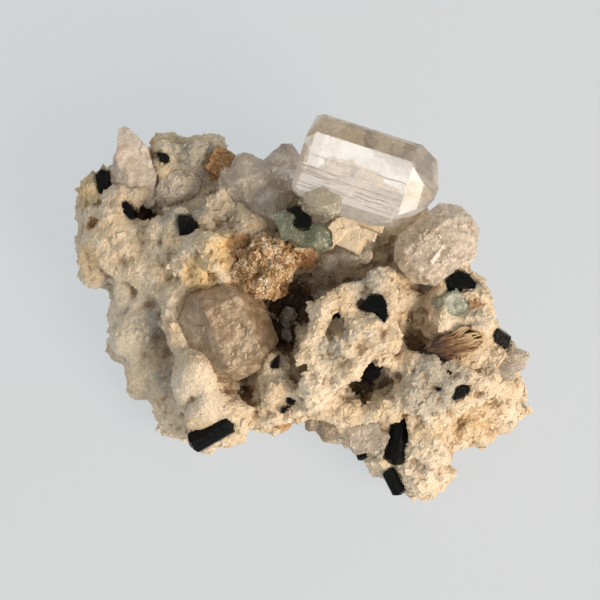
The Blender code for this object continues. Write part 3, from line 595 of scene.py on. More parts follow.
@dataclass(frozen=True)
class ClearMineral:
    """A clear mineral: glassy where its faces are fresh, and frosted where it is rubbed or etched.

    Attributes:
        name: what the finish is.
        slot: the record's material slot.
        tint: what its surface passes.
        frost: the colour of its frosted skin.
        depths: what its depths pass, over the distance that density sets.
        clarity: how much light passes a fresh face.
        frosted: the share of its faces that is frosted.
        frost_size: the size of a frosted spot.
        pit: the size of etched pits, or 0 for none.
        frost_clarity: how much light passes a frosted spot.
        frost_roughness: how matt a frosted spot is.
    """

    name: str
    slot: str
    tint: Hex
    frost: Hex
    depths: Hex
    density: float
    ior: float
    clarity: float
    roughness: float
    frosted: float
    frost_size: float
    pit: float = 0.0
    frost_clarity: float = 0.15
    frost_roughness: float = 0.5

    def material(self) -> Material:
        """Builds the mineral's material.

        Returns:
            A material that reads the attribute pit.
        """
        material, tree, shader = new_material(self.name)
        place = own_place(tree)
        # The more is frosted, the lower the part of the clouds that already counts as frost
        frost_from, frost_full = 0.66 - 0.3 * self.frosted, 0.8 - 0.2 * self.frosted
        spots = stretched(tree, clouds(tree, place, self.frost_size, 6.0, 0.65), frost_from, frost_full)
        hollows = maths(tree, "MULTIPLY", stored(tree, "pit"), 0.5)
        frost = maths(tree, "ADD", spots, hollows, use_clamp=True)
        feed(tree, shader, {
            "Base Color": blend(tree, frost, linear(self.tint), linear(self.frost)),
            "Transmission Weight": stretched(tree, frost, 0.0, 1.0, self.clarity, self.frost_clarity),
            "Roughness": stretched(tree, frost, 0.0, 1.0, self.roughness, self.frost_roughness),
            "IOR": self.ior})
        if self.pit:
            pits = add_node(tree, "ShaderNodeTexVoronoi", {"Vector": place, "Scale": 1 / (self.pit * MM)},
                            feature="SMOOTH_F1")
            feed(tree, shader, {"Normal": relief(tree, pits.outputs["Distance"], 0.5, 0.05)})
        depths = add_node(tree, "ShaderNodeVolumeAbsorption", {
            "Color": linear(self.depths), "Density": self.density})
        feed(tree, tree.nodes["Material Output"], {"Volume": depths.outputs[0]})
        return material


@dataclass(frozen=True)
class BlackSchorl:
    """Schorl: black with a blue-green cast, glassy, and ridged along its length.

    The eye gets a deep black with thin bright lines. Real ridges go down to 0.02 mm. These are coarser, so
    that they show at the picture's size.
    """

    body: Hex = "#050607"
    sheen: Hex = "#0B0F11"
    ridge: float = 0.14
    ridge_depth: float = 0.06
    stretch: float = 0.06

    def material(self) -> Material:
        """Builds the black crystals' material.

        Returns:
            A material that reads the attribute lath.
        """
        material, tree, shader = new_material("black schorl")
        lath = add_node(tree, "ShaderNodeAttribute", attribute_name="lath").outputs["Vector"]
        across = 1 / (self.ridge * MM)
        drawn_out = vector_maths(tree, "MULTIPLY", lath, (across, across, self.stretch / (self.ridge * MM)))
        ridges = add_node(tree, "ShaderNodeTexNoise", {
            "Vector": drawn_out, "Scale": 1.0, "Detail": 4.0}).outputs["Fac"]
        feed(tree, shader, {
            "Base Color": blend(tree, ridges, linear(self.body), linear(self.sheen)),
            "Roughness": stretched(tree, ridges, 0.3, 0.7, 0.12, 0.45),
            "Normal": relief(tree, ridges, 0.7, self.ridge_depth),
            "IOR": SCHORL_IOR, "Specular IOR Level": 0.09})
        return material


@dataclass(frozen=True)
class ToneRange:
    """A crust or book whose grains or leaves each have their own tone, kept in the attribute tone."""

    name: str
    dark: Hex
    middle: Hex
    light: Hex
    roughness: float
    clarity: float = 0.0
    texture: float = 0.25
    ior: float = 1.54

    def material(self) -> Material:
        """Builds the material.

        Returns:
            A material that goes from dark to light by the attribute tone.
        """
        material, tree, shader = new_material(self.name)
        specks = clouds(tree, own_place(tree), self.texture, 3.0)
        ramp = add_node(tree, "ShaderNodeValToRGB", {"Fac": stored(tree, "tone")})
        stops = ramp.color_ramp.elements
        stops[0].color = linear(self.dark)
        stops[1].color = linear(self.light)
        stops.new(0.5).color = linear(self.middle)
        feed(tree, shader, {
            "Base Color": blend(tree, 0.35, ramp.outputs["Color"], specks, "OVERLAY"),
            "Normal": relief(tree, specks, 0.4, 0.04), "Roughness": self.roughness,
            "Transmission Weight": self.clarity, "IOR": self.ior})
        return material


# Iron-stained crust: each tiny crystal has its own tone, so the eye sees a sparkling orange-brown sugar
STAINED_DRUSE = ToneRange(
    "stained druse", dark="#88663C", middle="#DDB888", light="#FAEEDA", roughness=0.28, clarity=0.15)
# Book of mica seen on its edges: dark gaps between pearly leaves read as fine brown stripes
BROWN_MICA = ToneRange(
    "brown mica", dark="#37231A", middle="#8A6747", light="#E2CBA4", roughness=0.28, texture=0.5)
# Grown prism faces: glass-clear with mirror glints, and faint milky veils that catch the light
CLEAR_TOPAZ = ClearMineral(
    "champagne topaz", "clear_topaz", tint="#FCF7F0", frost="#F9F1E8", depths="#E8C49C", density=10,
    ior=TOPAZ_IOR, clarity=0.9, roughness=0.02, frosted=0.7, frost_size=3.2, frost_clarity=0.66,
    frost_roughness=0.12)
# Faces dissolved by hot water: pits scatter the light, so it glows pink-white and hides what is behind
ETCHED_TOPAZ = ClearMineral(
    "etched topaz", "etched_topaz", tint="#FEF5EA", frost="#FCF3E8", depths="#E8C49C", density=8,
    ior=TOPAZ_IOR, clarity=0.74, roughness=0.07, frosted=0.85, frost_size=1.1, pit=0.5, frost_clarity=0.3,
    frost_roughness=0.28)
# Worn and cloudy: soft broad sheen over a brown haze, with only blurred depth
BROWN_TOPAZ = ClearMineral(
    "hazy brown topaz", "brown_topaz", tint="#DFC7A6", frost="#EEDCC2", depths="#C89A5C", density=60,
    ior=TOPAZ_IOR, clarity=0.7, roughness=0.3, frosted=0.7, frost_size=1.5, pit=0.9, frost_clarity=0.4)
# Intergrown and rubbed: greyish, with small wet-looking glints between matt spots
GREY_QUARTZ = ClearMineral(
    "grey quartz", "grey_quartz", tint="#F6EFE6", frost="#F4EDE2", depths="#CBB69C", density=16,
    ior=QUARTZ_IOR, clarity=0.68, roughness=0.12, frosted=0.5, frost_size=1.5, pit=0.6, frost_clarity=0.3)
# Deep in the slab's pit: brownish glass that darkens towards its middle
SMOKY_QUARTZ = ClearMineral(
    "smoky quartz", "grey_quartz", tint="#E9DCCB", frost="#DCCDB8", depths="#9C8468", density=90,
    ior=QUARTZ_IOR, clarity=0.75, roughness=0.12, frosted=0.35, frost_size=1.2, pit=0.6, frost_clarity=0.3)
# Granular vein quartz: milky and dull, hardly see-through
MILKY_QUARTZ = ClearMineral(
    "milky quartz", "grey_quartz", tint="#F4E8D8", frost="#FAF3EA", depths="#CDB598", density=40,
    ior=QUARTZ_IOR, clarity=0.35, roughness=0.2, frosted=0.6, frost_size=1.0, pit=0.5, frost_clarity=0.2)
# Fresh cleavage: sea-green glass, deeper green where it is thick, pale along its rubbed edges
GREEN_FLUORITE = ClearMineral(
    "pale green fluorite", "fluorite", tint="#DCE6D8", frost="#E6EADC", depths="#98B8A2", density=110,
    ior=FLUORITE_IOR, clarity=0.9, roughness=0.06, frosted=0.25, frost_size=1.0, pit=0.8, frost_clarity=0.45)
# Cracked through by its cleavage: milky sea-green, with white fractures
CRACKED_FLUORITE = ClearMineral(
    "cracked green fluorite", "fluorite", tint="#D6E6DC", frost="#E8F2EA", depths="#A6CAB6", density=50,
    ior=FLUORITE_IOR, clarity=0.7, roughness=0.1, frosted=0.7, frost_size=1.3, pit=0.7, frost_clarity=0.4)
# Rounded by solution: a clear dome between green and brown
ROUNDED_FLUORITE = ClearMineral(
    "brownish green fluorite", "fluorite", tint="#EEEADC", frost="#F0EBDE", depths="#BCC0A4", density=60,
    ior=FLUORITE_IOR, clarity=0.88, roughness=0.07, frosted=0.35, frost_size=1.2, pit=0.6,
    frost_clarity=0.45)
# Cleaved feldspar: satin skin over a pinkish body that light enters a little way
SATIN_FELDSPAR = ClearMineral(
    "pinkish feldspar", "feldspar", tint="#FFF1E4", frost="#FFF8F0", depths="#F0D2BA", density=14,
    ior=ALBITE_IOR, clarity=0.45, roughness=0.2, frosted=0.7, frost_size=1.4, pit=0.7)
# Feldspar soaked with iron: amber where light comes through, rusty where it doesn't
RUSTY_FELDSPAR = ClearMineral(
    "rust-stained feldspar", "rusty_feldspar", tint="#D0A068", frost="#EBD0A4", depths="#B47438",
    density=120, ior=ALBITE_IOR, clarity=0.3, roughness=0.3, frosted=0.6, frost_size=0.9, pit=0.5)
# Young albite blades: clean cream with a silky face and softly lit edges
CLEAN_ALBITE = ClearMineral(
    "clean albite", "clean_albite", tint="#F2E2C8", frost="#F8EEDC", depths="#E0C08E", density=200,
    ior=ALBITE_IOR, clarity=0.15, roughness=0.35, frosted=0.3, frost_size=0.9, pit=0.4)


@dataclass
class LargeTopaz:
    """The main crystal: flat glassy faces, the front one scored by growth lines along its lower third."""

    node: str = "large_topaz"
    wear: float = 0.07
    blunt_angle: float = 9.0
    line_places: tuple[float, ...] = (0.07, 0.13, 0.17, 0.24, 0.29, 0.33, 0.41, 0.62)
    line_width: float = 0.08
    line_depth: float = 0.09
    line_wander: float = 0.12
    steps: int = 24

    def build(self) -> None:
        """Makes the crystal and gives it to the frame."""
        shape = welded_shape(self.node)
        blunt(shape, self.blunt_angle, self.wear, 2)
        self.score(shape)
        thing = add_shape("topaz_faces", shape)
        thing.data.materials.append(CLEAR_TOPAZ.material())
        hand_over(thing, CLEAR_TOPAZ.slot, self.node)

    def axes(self) -> tuple[Vector, Vector, Vector]:
        """Finds the crystal's own directions.

        Returns:
            Out of the front face, across it and along the crystal.
        """
        along = TOPAZ_ALONG.normalized()
        out = (TOPAZ_FACING - along * along.dot(TOPAZ_FACING)).normalized()
        return out, out.cross(along), along

    def score(self, shape: Shape) -> None:
        """Cuts the growth lines into the front face, each a shallow groove that wanders a little.

        Args:
            shape: the crystal, in metres.
        """
        out, across, along = self.axes()
        facing = [face for face in shape.faces if face.normal.dot(out) > 0.98]
        front = max(facing, key=lambda face: face.calc_area())
        heights = [vertex.co.dot(across) / MM for vertex in front.verts]
        lengths = [vertex.co.dot(along) / MM for vertex in front.verts]
        middles = [min(heights) + share * (max(heights) - min(heights)) for share in self.line_places]
        sides = (-self.line_width, 0, self.line_width)
        cuts = [(across, middle + side) for middle in middles for side in sides]
        cuts += [(along, min(lengths) + (max(lengths) - min(lengths)) * step / self.steps)
                 for step in range(1, self.steps)]
        inner = self.divide(shape, front, out, cuts)
        # Each line reads noise at a place of its own, so that no two fade or wander alike
        for index, middle in enumerate(middles):
            for vertex in inner:
                if abs(vertex.co.dot(across) / MM - middle) < 0.01:
                    length = vertex.co.dot(along) / MM
                    strength = noise.noise(Vector((length * 0.22, index * 7.3, 0.5))) + 0.35
                    vertex.co -= out * self.line_depth * MM * max(0.0, min(1.0, 2 * strength))
            for vertex in inner:
                if abs(vertex.co.dot(across) / MM - middle) < self.line_width + 0.01:
                    swerve = noise.noise(Vector((vertex.co.dot(along) / MM * 0.5, index * 3.1, 9.0)))
                    vertex.co += across * (self.line_wander * swerve) * MM

    def divide(self, shape: Shape, front: bmesh.types.BMFace, out: Vector, cuts: list[tuple[Vector, float]]
               ) -> set[bmesh.types.BMVert]:
        """Cuts the front face into small faces in its own plane.

        Args:
            shape: the crystal, in metres.
            front: its front face.
            out: the way that it faces.
            cuts: each cut's direction and its distance along it, in millimetres.

        Returns:
            The vertices inside the face's rim.
        """
        level = front.verts[0].co.dot(out)
        rim = set(front.verts)
        region = [front]
        for direction, distance in cuts:
            edges = {edge for face in region for edge in face.edges}
            corners = {vertex for face in region for vertex in face.verts}
            bmesh.ops.bisect_plane(shape, geom=region + list(edges) + list(corners),
                                   plane_co=direction * distance * MM, plane_no=direction, dist=1e-7)
            region = [face for face in shape.faces
                      if face.normal.dot(out) > 0.999 and abs(face.verts[0].co.dot(out) - level) < 1e-6]
        return {vertex for face in region for vertex in face.verts
                if all(linked in region for linked in vertex.link_faces) and vertex not in rim}


@dataclass(frozen=True)
class Breakage:
    """How a surface is broken: tilted facets, with finer grains on them. Sizes are in millimetres."""

    facet: float
    step: float
    tilt: float
    grain: float
    grain_step: float
    seed: float

    def apply(self, thing: Thing, tree: Tree, finish: Material) -> None:
        """Breaks an object's surface.

        Args:
            thing: the object.
            tree: the tree of BrokenSurface.
            finish: the object's material.
        """
        run_tree(thing, tree, {
            "Facet": self.facet * MM, "Step": self.step * MM, "Tilt": self.tilt, "Grain": self.grain * MM,
            "Grain Step": self.grain_step * MM, "Seed": self.seed, "Finish": finish})


@dataclass(frozen=True)
class Scatter:
    """How grains lie on a surface. Sizes are in millimetres.

    Attributes:
        spacing: how far they are apart.
        sizes: the smallest and the largest.
        sink: how deep they sit.
        lie_flat: how far each turns its thin side to the surface, from 0 to 1.
        seed: which pattern is drawn.
    """

    spacing: float
    sizes: tuple[float, float]
    sink: float
    seed: int
    lie_flat: float = 0.75

    def apply(self, thing: Thing, tree: Tree, grains: Collection, finish: Material) -> None:
        """Turns an object into grains that lie on its surface.

        Args:
            thing: the object, with the attribute cover.
            tree: the tree of GrainScatter.
            grains: the shapes to pick from.
            finish: the grains' material.
        """
        run_tree(thing, tree, {
            "Grains": grains, "Spacing": self.spacing * MM, "Smallest": self.sizes[0] * MM,
            "Largest": self.sizes[1] * MM, "Sink": self.sink * MM, "Lie Flat": self.lie_flat,
            "Seed": self.seed, "Finish": finish})


@dataclass(frozen=True)
class FreshFace:
    """A narrow flat cleavage face on an etched crystal, which glints."""

    place: Vector
    facing: Vector
    along: Vector
    length: float
    width: float

    def flatten(self, thing: Thing) -> None:
        """Brings the crystal's skin under the face into its plane.

        Args:
            thing: the crystal.
        """
        out = self.facing.normalized()
        across = out.cross(self.along).normalized()
        along = across.cross(out)
        for vertex in thing.data.vertices:
            off = vertex.co / MM - self.place
            reach = (2 * abs(off.dot(along)) / self.length, 2 * abs(off.dot(across)) / self.width)
            if max(reach) < 1 and abs(off.dot(out)) < 0.5 * self.length:
                vertex.co -= out * off.dot(out) * MM


@dataclass
class Crystal:
    """A smaller crystal or group, whose faces are dissolved into shallow pits, steps and small facets.

    Attributes:
        node: its solid.
        finish: its mineral.
        cell: how fine its mesh is.
        facet: how wide a facet is.
        relief: how far facets stand above each other.
        fresh_face: a face that stayed flat.
        tilt: how far facets lean.
        grain_share: how wide its finer grains are, as a share of a facet.
        grain_step_share: how far these stand out, as a share of the relief.
    """

    node: str
    finish: ClearMineral
    cell: float
    facet: float
    relief: float
    fresh_face: FreshFace | None = None
    tilt: float = 0.2
    grain_share: float = 0.35
    grain_step_share: float = 0.25

    def build(self, tree: Tree, seed: float) -> None:
        """Makes the crystal and gives it to the frame.

        Args:
            tree: the tree that breaks a surface into facets.
            seed: which pattern is drawn.
        """
        thing = add_shape(self.node + "_etched", welded_shape(self.node))
        reskin(thing, self.cell)
        broken = Breakage(self.facet, self.relief, self.tilt, self.grain_share * self.facet,
                          self.grain_step_share * self.relief, seed)
        broken.apply(thing, tree, self.finish.material())
        if self.fresh_face:
            self.fresh_face.flatten(thing)
        hand_over(thing, self.finish.slot, self.node)


@dataclass
class BrokenSurface:
    """The geometry tree that breaks a surface into tilted facets, with finer ones on top of them.

    It reads the attributes smooth (fewer facets) and near (close to a crystal, where it moves little), and
    keeps in the attribute pit how deep each point lies in a hollow.
    """

    blur_steps: int = 14
    pit_depth: float = 0.45

    def tree(self) -> Tree:
        """Builds the tree.

        Returns:
            A tree with the inputs that Breakage gives.
        """
        numbers = dict.fromkeys(("Facet", "Step", "Tilt", "Grain", "Grain Step", "Seed"), "Float")
        tree, given = new_geometry_tree("broken surface", {**numbers, "Finish": "Material"})
        place = add_node(tree, "GeometryNodeInputPosition").outputs[0]
        normal = add_node(tree, "GeometryNodeInputNormal").outputs[0]
        facets = self.facets(tree, place, given, "Facet", "Step")
        grains = self.facets(tree, place, given, "Grain", "Grain Step")
        broken = maths(tree, "MULTIPLY", facets, maths(tree, "SUBTRACT", 1.0, named(tree, "smooth")))
        free = maths(tree, "MULTIPLY_ADD", named(tree, "near"), -0.8, 1.0)
        height = maths(tree, "MULTIPLY", maths(tree, "ADD", broken, grains), free)
        moved = add_node(tree, "GeometryNodeSetPosition", {
            "Geometry": given.outputs["Geometry"], "Offset": vector_maths(tree, "SCALE", normal, height)})
        blurred = add_node(tree, "GeometryNodeBlurAttribute", {0: place, "Iterations": self.blur_steps},
                           data_type="FLOAT_VECTOR")
        lift = vector_maths(tree, "SUBTRACT", blurred.outputs[0], place)
        depth = vector_maths(tree, "DOT_PRODUCT", lift, normal)
        kept = add_node(tree, "GeometryNodeStoreNamedAttribute", {
            "Geometry": moved.outputs[0], "Name": "pit",
            "Value": stretched(tree, depth, 0.0, self.pit_depth * MM)}, data_type="FLOAT", domain="POINT")
        finish_tree(tree, given, kept.outputs[0])
        return tree

    def facets(self, tree: Tree, place: Socket, given: Node, size_name: str, step_name: str) -> Socket:
        """Gives each cell of the surface its own height and tilt.

        Args:
            tree: the geometry tree.
            place: each vertex's position.
            given: the tree's input node.
            size_name: the input that says how wide a cell is.
            step_name: the input that says how far cells stand above each other.

        Returns:
            The socket of a distance along the surface's normal.
        """
        size, step, tilt, seed = (given.outputs[name] for name in (size_name, step_name, "Tilt", "Seed"))
        half = (0.5, 0.5, 0.5)
        scale = maths(tree, "DIVIDE", 1.0, size)
        wander = add_node(tree, "ShaderNodeTexNoise", {
            "Vector": place, "W": seed, "Scale": scale, "Detail": 1.0}, noise_dimensions="4D")
        off = vector_maths(tree, "SUBTRACT", wander.outputs["Color"], half)
        shift = vector_maths(tree, "SCALE", off, size)
        warped = vector_maths(tree, "ADD", place, shift)
        cells = add_node(tree, "ShaderNodeTexVoronoi", {"Vector": warped, "W": seed, "Scale": scale},
                         voronoi_dimensions="4D")
        chance = vector_maths(tree, "SUBTRACT", cells.outputs["Color"], half)
        from_middle = vector_maths(tree, "SUBTRACT", warped, cells.outputs["Position"])
        leaned = maths(tree, "MULTIPLY", vector_maths(tree, "DOT_PRODUCT", chance, from_middle), tilt)
        drawn = add_node(tree, "ShaderNodeSeparateXYZ", {0: chance}).outputs["X"]
        return maths(tree, "MULTIPLY_ADD", drawn, step, leaned)


@dataclass
class GrainShapes:
    """A few broken grains, kept out of the scene, for the scatter to pick from."""

    name: str
    kinds: int = 6
    stretch: tuple[float, float, float] = (1.0, 0.75, 0.45)
    skew: float = 0.3

    def build(self) -> Collection:
        """Makes the grains.

        Returns:
            A collection of grains that are each about one metre across.
        """
        chance = random.Random(self.name)
        group = bpy.data.collections.new(self.name)
        for index in range(self.kinds):
            shape = bmesh.new()
            for corner in itertools.product((-0.5, 0.5), repeat=3):
                lean = self.skew * corner[2]
                x, y, z = (corner[axis] * chance.uniform(0.65, 1.0) * self.stretch[axis] for axis in range(3))
                shape.verts.new((x + lean * chance.uniform(0.3, 1.0) * self.stretch[0], y, z))
            bmesh.ops.convex_hull(shape, input=shape.verts)
            bmesh.ops.delete(shape, geom=[v for v in shape.verts if not v.link_faces], context="VERTS")
            bmesh.ops.recalc_face_normals(shape, faces=shape.faces)
            thing = add_shape(f"{self.name}_{index}", shape)
            bpy.context.scene.collection.objects.unlink(thing)
            group.objects.link(thing)
        return group


@dataclass
class GrainScatter:
    """The geometry tree that covers a surface with grains, each sunk in it and turned its own way."""

    stretch_size: float = 2.2
    stretch_tones: tuple[float, float] = (0.34, 0.62)
    own_tone: float = 0.3

    def tree(self) -> Tree:
        """Builds the tree, which reads the attribute cover and keeps each grain's own tone.

        Returns:
            A tree with the inputs that Scatter gives.
        """
        numbers = dict.fromkeys(("Spacing", "Smallest", "Largest", "Sink", "Lie Flat"), "Float")
        tree, given = new_geometry_tree("scattered grains", {
            "Grains": "Collection", **numbers, "Seed": "Int", "Finish": "Material"})
        spacing, seed = given.outputs["Spacing"], given.outputs["Seed"]
        points = add_node(tree, "GeometryNodeDistributePointsOnFaces", {
            "Mesh": given.outputs["Geometry"], "Distance Min": spacing,
            "Density Max": maths(tree, "POWER", spacing, -2.0), "Density Factor": named(tree, "cover"),
            "Seed": seed}, distribute_method="POISSON")
        normal = points.outputs["Normal"]
        inward = vector_maths(tree, "SCALE", normal, maths(tree, "MULTIPLY", given.outputs["Sink"], -1.0))
        sunk = add_node(tree, "GeometryNodeSetPosition", {
            "Geometry": points.outputs["Points"], "Offset": inward})
        picks = add_node(tree, "GeometryNodeCollectionInfo", {
            "Collection": given.outputs["Grains"], "Separate Children": True, "Reset Children": True})
        turn = add_node(tree, "FunctionNodeRandomValue", {
            "Min": (0.0, 0.0, 0.0), "Max": (math.tau,) * 3, "Seed": seed}, data_type="FLOAT_VECTOR")
        spun = add_node(tree, "FunctionNodeEulerToRotation", {0: turn.outputs[0]})
        laid = add_node(tree, "FunctionNodeAlignRotationToVector", {
            "Rotation": spun.outputs[0], "Factor": given.outputs["Lie Flat"], "Vector": normal}, axis="Z")
        size = add_node(tree, "FunctionNodeRandomValue", {
            2: given.outputs["Smallest"], 3: given.outputs["Largest"], "Seed": seed}, data_type="FLOAT")
        placed = add_node(tree, "GeometryNodeInstanceOnPoints", {
            "Points": sunk.outputs[0], "Instance": picks.outputs[0], "Pick Instance": True,
            "Rotation": laid.outputs[0], "Scale": size.outputs[1]})
        own = add_node(tree, "FunctionNodeRandomValue", {2: -self.own_tone, 3: self.own_tone, "Seed": 7},
                       data_type="FLOAT")
        place = add_node(tree, "GeometryNodeInputPosition").outputs[0]
        shared = stretched(tree, clouds(tree, place, self.stretch_size, 2.0), *self.stretch_tones)
        toned = add_node(tree, "GeometryNodeStoreNamedAttribute", {
            "Geometry": placed.outputs[0], "Name": "tone",
            "Value": maths(tree, "ADD", shared, own.outputs[1], use_clamp=True)},
            data_type="FLOAT", domain="INSTANCE")
        finish_tree(tree, given, toned.outputs[0])
        return tree


PATCHES = {
    Character.SMOOTH: (
        Patch((-26, 2, 10), 12, 0.7), Patch((-25, -8, 6), 10, 0.7), Patch((-16, -14, 13), 10, 0.85),
        Patch((-30, 11, 12), 8, 0.5),
    ),
    Character.RAISED: (
        Patch((-15.2, -12, 15), 6.5, 1.3), Patch((-14, -17.5, 12), 5, 1.0), Patch((-26.5, -4, 8), 6, 0.9),
        Patch((-28.5, 4, 12), 6, 0.6),
    ),
    Character.SUNK: (
        Patch((-22.5, -0.5, 13), 3.4, 1.0), Patch((-21.5, -5.5, 8.5), 3.6, 1.1),
        Patch((-20.2, -11, 9.5), 3.2, 1.0), Patch((-18.4, -17, 10.5), 2.6, 0.7),
        Patch((22.9, -2.0, 18.7), 4.2, 0.6), Patch((-31.9, 12.1, 14), 1.8, 1.2),
        Patch((27.5, -15.0, 13.7), 1.6, 1.3), Patch((-16.8, 2.4, 20), 1.6, 1.3),
        Patch((29.5, -15.5, 11), 2.0, 1.3),
    ),
    Character.RUST: (
        Patch((-5.3, 2.4, 17), 8.5, 0.95), Patch((-9, 6.6, 21), 4, 0.7), Patch((0.2, 4.9, 17.5), 5, 0.8),
        Patch((-12.3, 20.6, 16), 5, 0.7), Patch((28.5, -17.2, 9), 8, 0.33),
        Patch((24.5, -19.0, 8.5), 4.5, 0.33), Patch((26.8, -1.2, 16), 2.6, 0.5),
        Patch((19.3, -15.7, 15), 1.5, 0.6), Patch((-2.8, -18, 8), 3, 0.7),
        Patch((-31.9, 12.1, 14), 2.2, 0.9),
    ),
    # Grey stretches; the two on the left flank, at x -22 and -20, paint the shade of the side turned from the
    # key light
    Character.GREY: (
        Patch((27.0, -3.8, 16.8), 3.5, 0.4), Patch((9.7, 1, 24), 5, 0.7), Patch((4.5, -9.6, 21), 3.6, 0.6),
        Patch((1, -12.6, 17), 3.6, 0.7), Patch((-22.3, -3, 11), 6, 0.5), Patch((-20, -11, 9), 5, 0.5),
        Patch((20.5, -14.0, 17), 8, 0.8), Patch((-18, 13, 18), 6, 0.6), Patch((-16, 21.8, 16), 6, 0.9),
        Patch((11, 8.5, 15), 4, 0.5), Patch((6, -7, 21), 4, 0.5),
    ),
    Character.YELLOW: (
        Patch((26.5, -18.2, 9), 8, 0.35), Patch((-12, 6, 21), 6, 0.6), Patch((-15, 2, 20), 5, 0.7),
        Patch((-32, 17.8, 12), 5, 0.6), Patch((-32, 8, 12), 5, 0.5), Patch((-16, 25, 16), 5, 0.5),
    ),
    # Pale stretches; the one at (3, -15.1, 18) on the slab's lower edge is a painted pool of light
    Character.PALE: (
        Patch((-27, -2, 8), 10, 0.9), Patch((19, -25, 9), 6, 0.8), Patch((-15, -14, 14), 7, 0.6),
        Patch((3, -15.1, 18), 5, 0.9), Patch((13, 9.5, 15), 7, 1.0), Patch((22.7, -5.8, 18), 5, 0.6),
    ),
    # Painted shade: the pockets beside the slab, the gap at its right, the hollow under its edge, a cleft and
    # a nook
    Character.DIRT: (
        Patch((-24.5, 14.8, 10), 3.0, 0.8), Patch((-1.6, 0.8, 10), 6, 1.0),
        Patch((-2.6, -4.5, 10), 4.5, 0.9), Patch((3.4, 2.2, 14), 4.5, 0.8),
        Patch((5.4, -2.1, 9.9), 3.5, 0.9), Patch((9.5, -12.3, 10), 3.4, 0.85),
        Patch((16.6, -2, 12.5), 2.6, 0.6), Patch((17.4, -6.8, 11.5), 3.4, 0.85),
        Patch((-8.5, -13.8, 8.7), 2.6, 0.8),
    ),
}


@dataclass
class AlbiteRock:
    """The rock: its solid's form, broken into facets, grained and stained.

    Attributes:
        node: its solid.
        slot: the name of its material slot.
        coarse_cell: the size of a face when the large facets are cut.
        fine_cell: the size of a face when the small facets are cut.
        coarse: its large facets.
        fine: its small facets.
        swell: how far its skin stands outside the solid.
        hug: how much further it stands out close to a crystal.
        keep_off: how far from a crystal the rock is left calm.
        base_height: what lies lower than this is brought down to the sawn base.
        softenings: how often the solid's edges are smoothed.
    """

    node: str = "albite_matrix"
    slot: str = "albite"
    coarse_cell: float = 0.5
    fine_cell: float = 0.42
    coarse: Breakage = Breakage(facet=2.8, step=0.75, tilt=0.6, grain=1.2, grain_step=0.16, seed=3.0)
    fine: Breakage = Breakage(facet=0.85, step=0.13, tilt=0.45, grain=0.42, grain_step=0.06, seed=8.0)
    swell: float = 0.25
    hug: float = 0.3
    keep_off: float = 0.9
    base_height: float = 0.15
    softenings: int = 3

    def build(self, tree: Tree, crystals: BVHTree) -> Thing:
        """The finished rock.

        Args:
            tree: the tree that breaks a surface.
            crystals: the surfaces of all crystals, which the rock leaves free.

        Returns:
            A dressed object that replaces the solid.
        """
        thing = add_shape("albite_rock", welded_shape(self.node))
        finish = GranularAlbite().material()
        reskin(thing, self.coarse_cell)
        self.soften(thing)
        self.paint(thing, crystals)
        self.swell_out(thing)
        self.coarse.apply(thing, tree, finish)
        reskin(thing, self.fine_cell)
        self.paint(thing, crystals)
        self.fine.apply(thing, tree, finish)
        self.flatten_base(thing)
        hand_over(thing, self.slot, self.node)
        return thing

    def soften(self, thing: Thing) -> None:
        """Takes the solid's big flat facets off.

        Args:
            thing: the rock.
        """
        shape = bmesh.new()
        shape.from_mesh(thing.data)
        for _ in range(self.softenings):
            bmesh.ops.smooth_vert(shape, verts=shape.verts, factor=0.5, use_axis_x=True, use_axis_y=True,
                                  use_axis_z=True)
        shape.to_mesh(thing.data)
        shape.free()

    def swell_out(self, thing: Thing) -> None:
        """Closes the rock on its crystals, and raises and sinks its soft swellings and valleys.

        Args:
            thing: the painted rock.
        """
        near, raised, sunk = (recall(thing, name) for name in ("near", "raised", "sunk"))
        moves = self.swell + self.hug * near + raised - sunk
        normals = [vertex.normal.copy() for vertex in thing.data.vertices]
        for vertex, normal, move in zip(thing.data.vertices, normals, moves):
            vertex.co += normal * float(move) * MM

    def paint(self, thing: Thing, crystals: BVHTree) -> None:
        """Keeps on each vertex what its stretch of rock is like, and how near a crystal is.

        Args:
            thing: the rock.
            crystals: the surfaces of all crystals.
        """
        points = places(thing)
        for character, patches in PATCHES.items():
            store(thing, character.value, np.max([patch.weigh(points) for patch in patches], axis=0))
        distance = np.array([crystals.find_nearest(vertex.co)[3] for vertex in thing.data.vertices]) / MM
        store(thing, "near", np.clip(1 - distance / self.keep_off, 0, 1))

    def flatten_base(self, thing: Thing) -> None:
        """Sets the sawn underside flat, joins its flat faces into one, and cuts that into triangles.

        Args:
            thing: the finished rock.
        """
        shape = bmesh.new()
        shape.from_mesh(thing.data)
        for vertex in shape.verts:
            if vertex.co.z < self.base_height * MM:
                vertex.co.z = 0
        flat = [face for face in shape.faces if all(vertex.co.z == 0 for vertex in face.verts)]
        bmesh.ops.dissolve_faces(shape, faces=flat, use_verts=True)
        bmesh.ops.triangulate(shape, faces=[face for face in shape.faces if len(face.verts) > 4])
        shape.to_mesh(thing.data)
        shape.free()


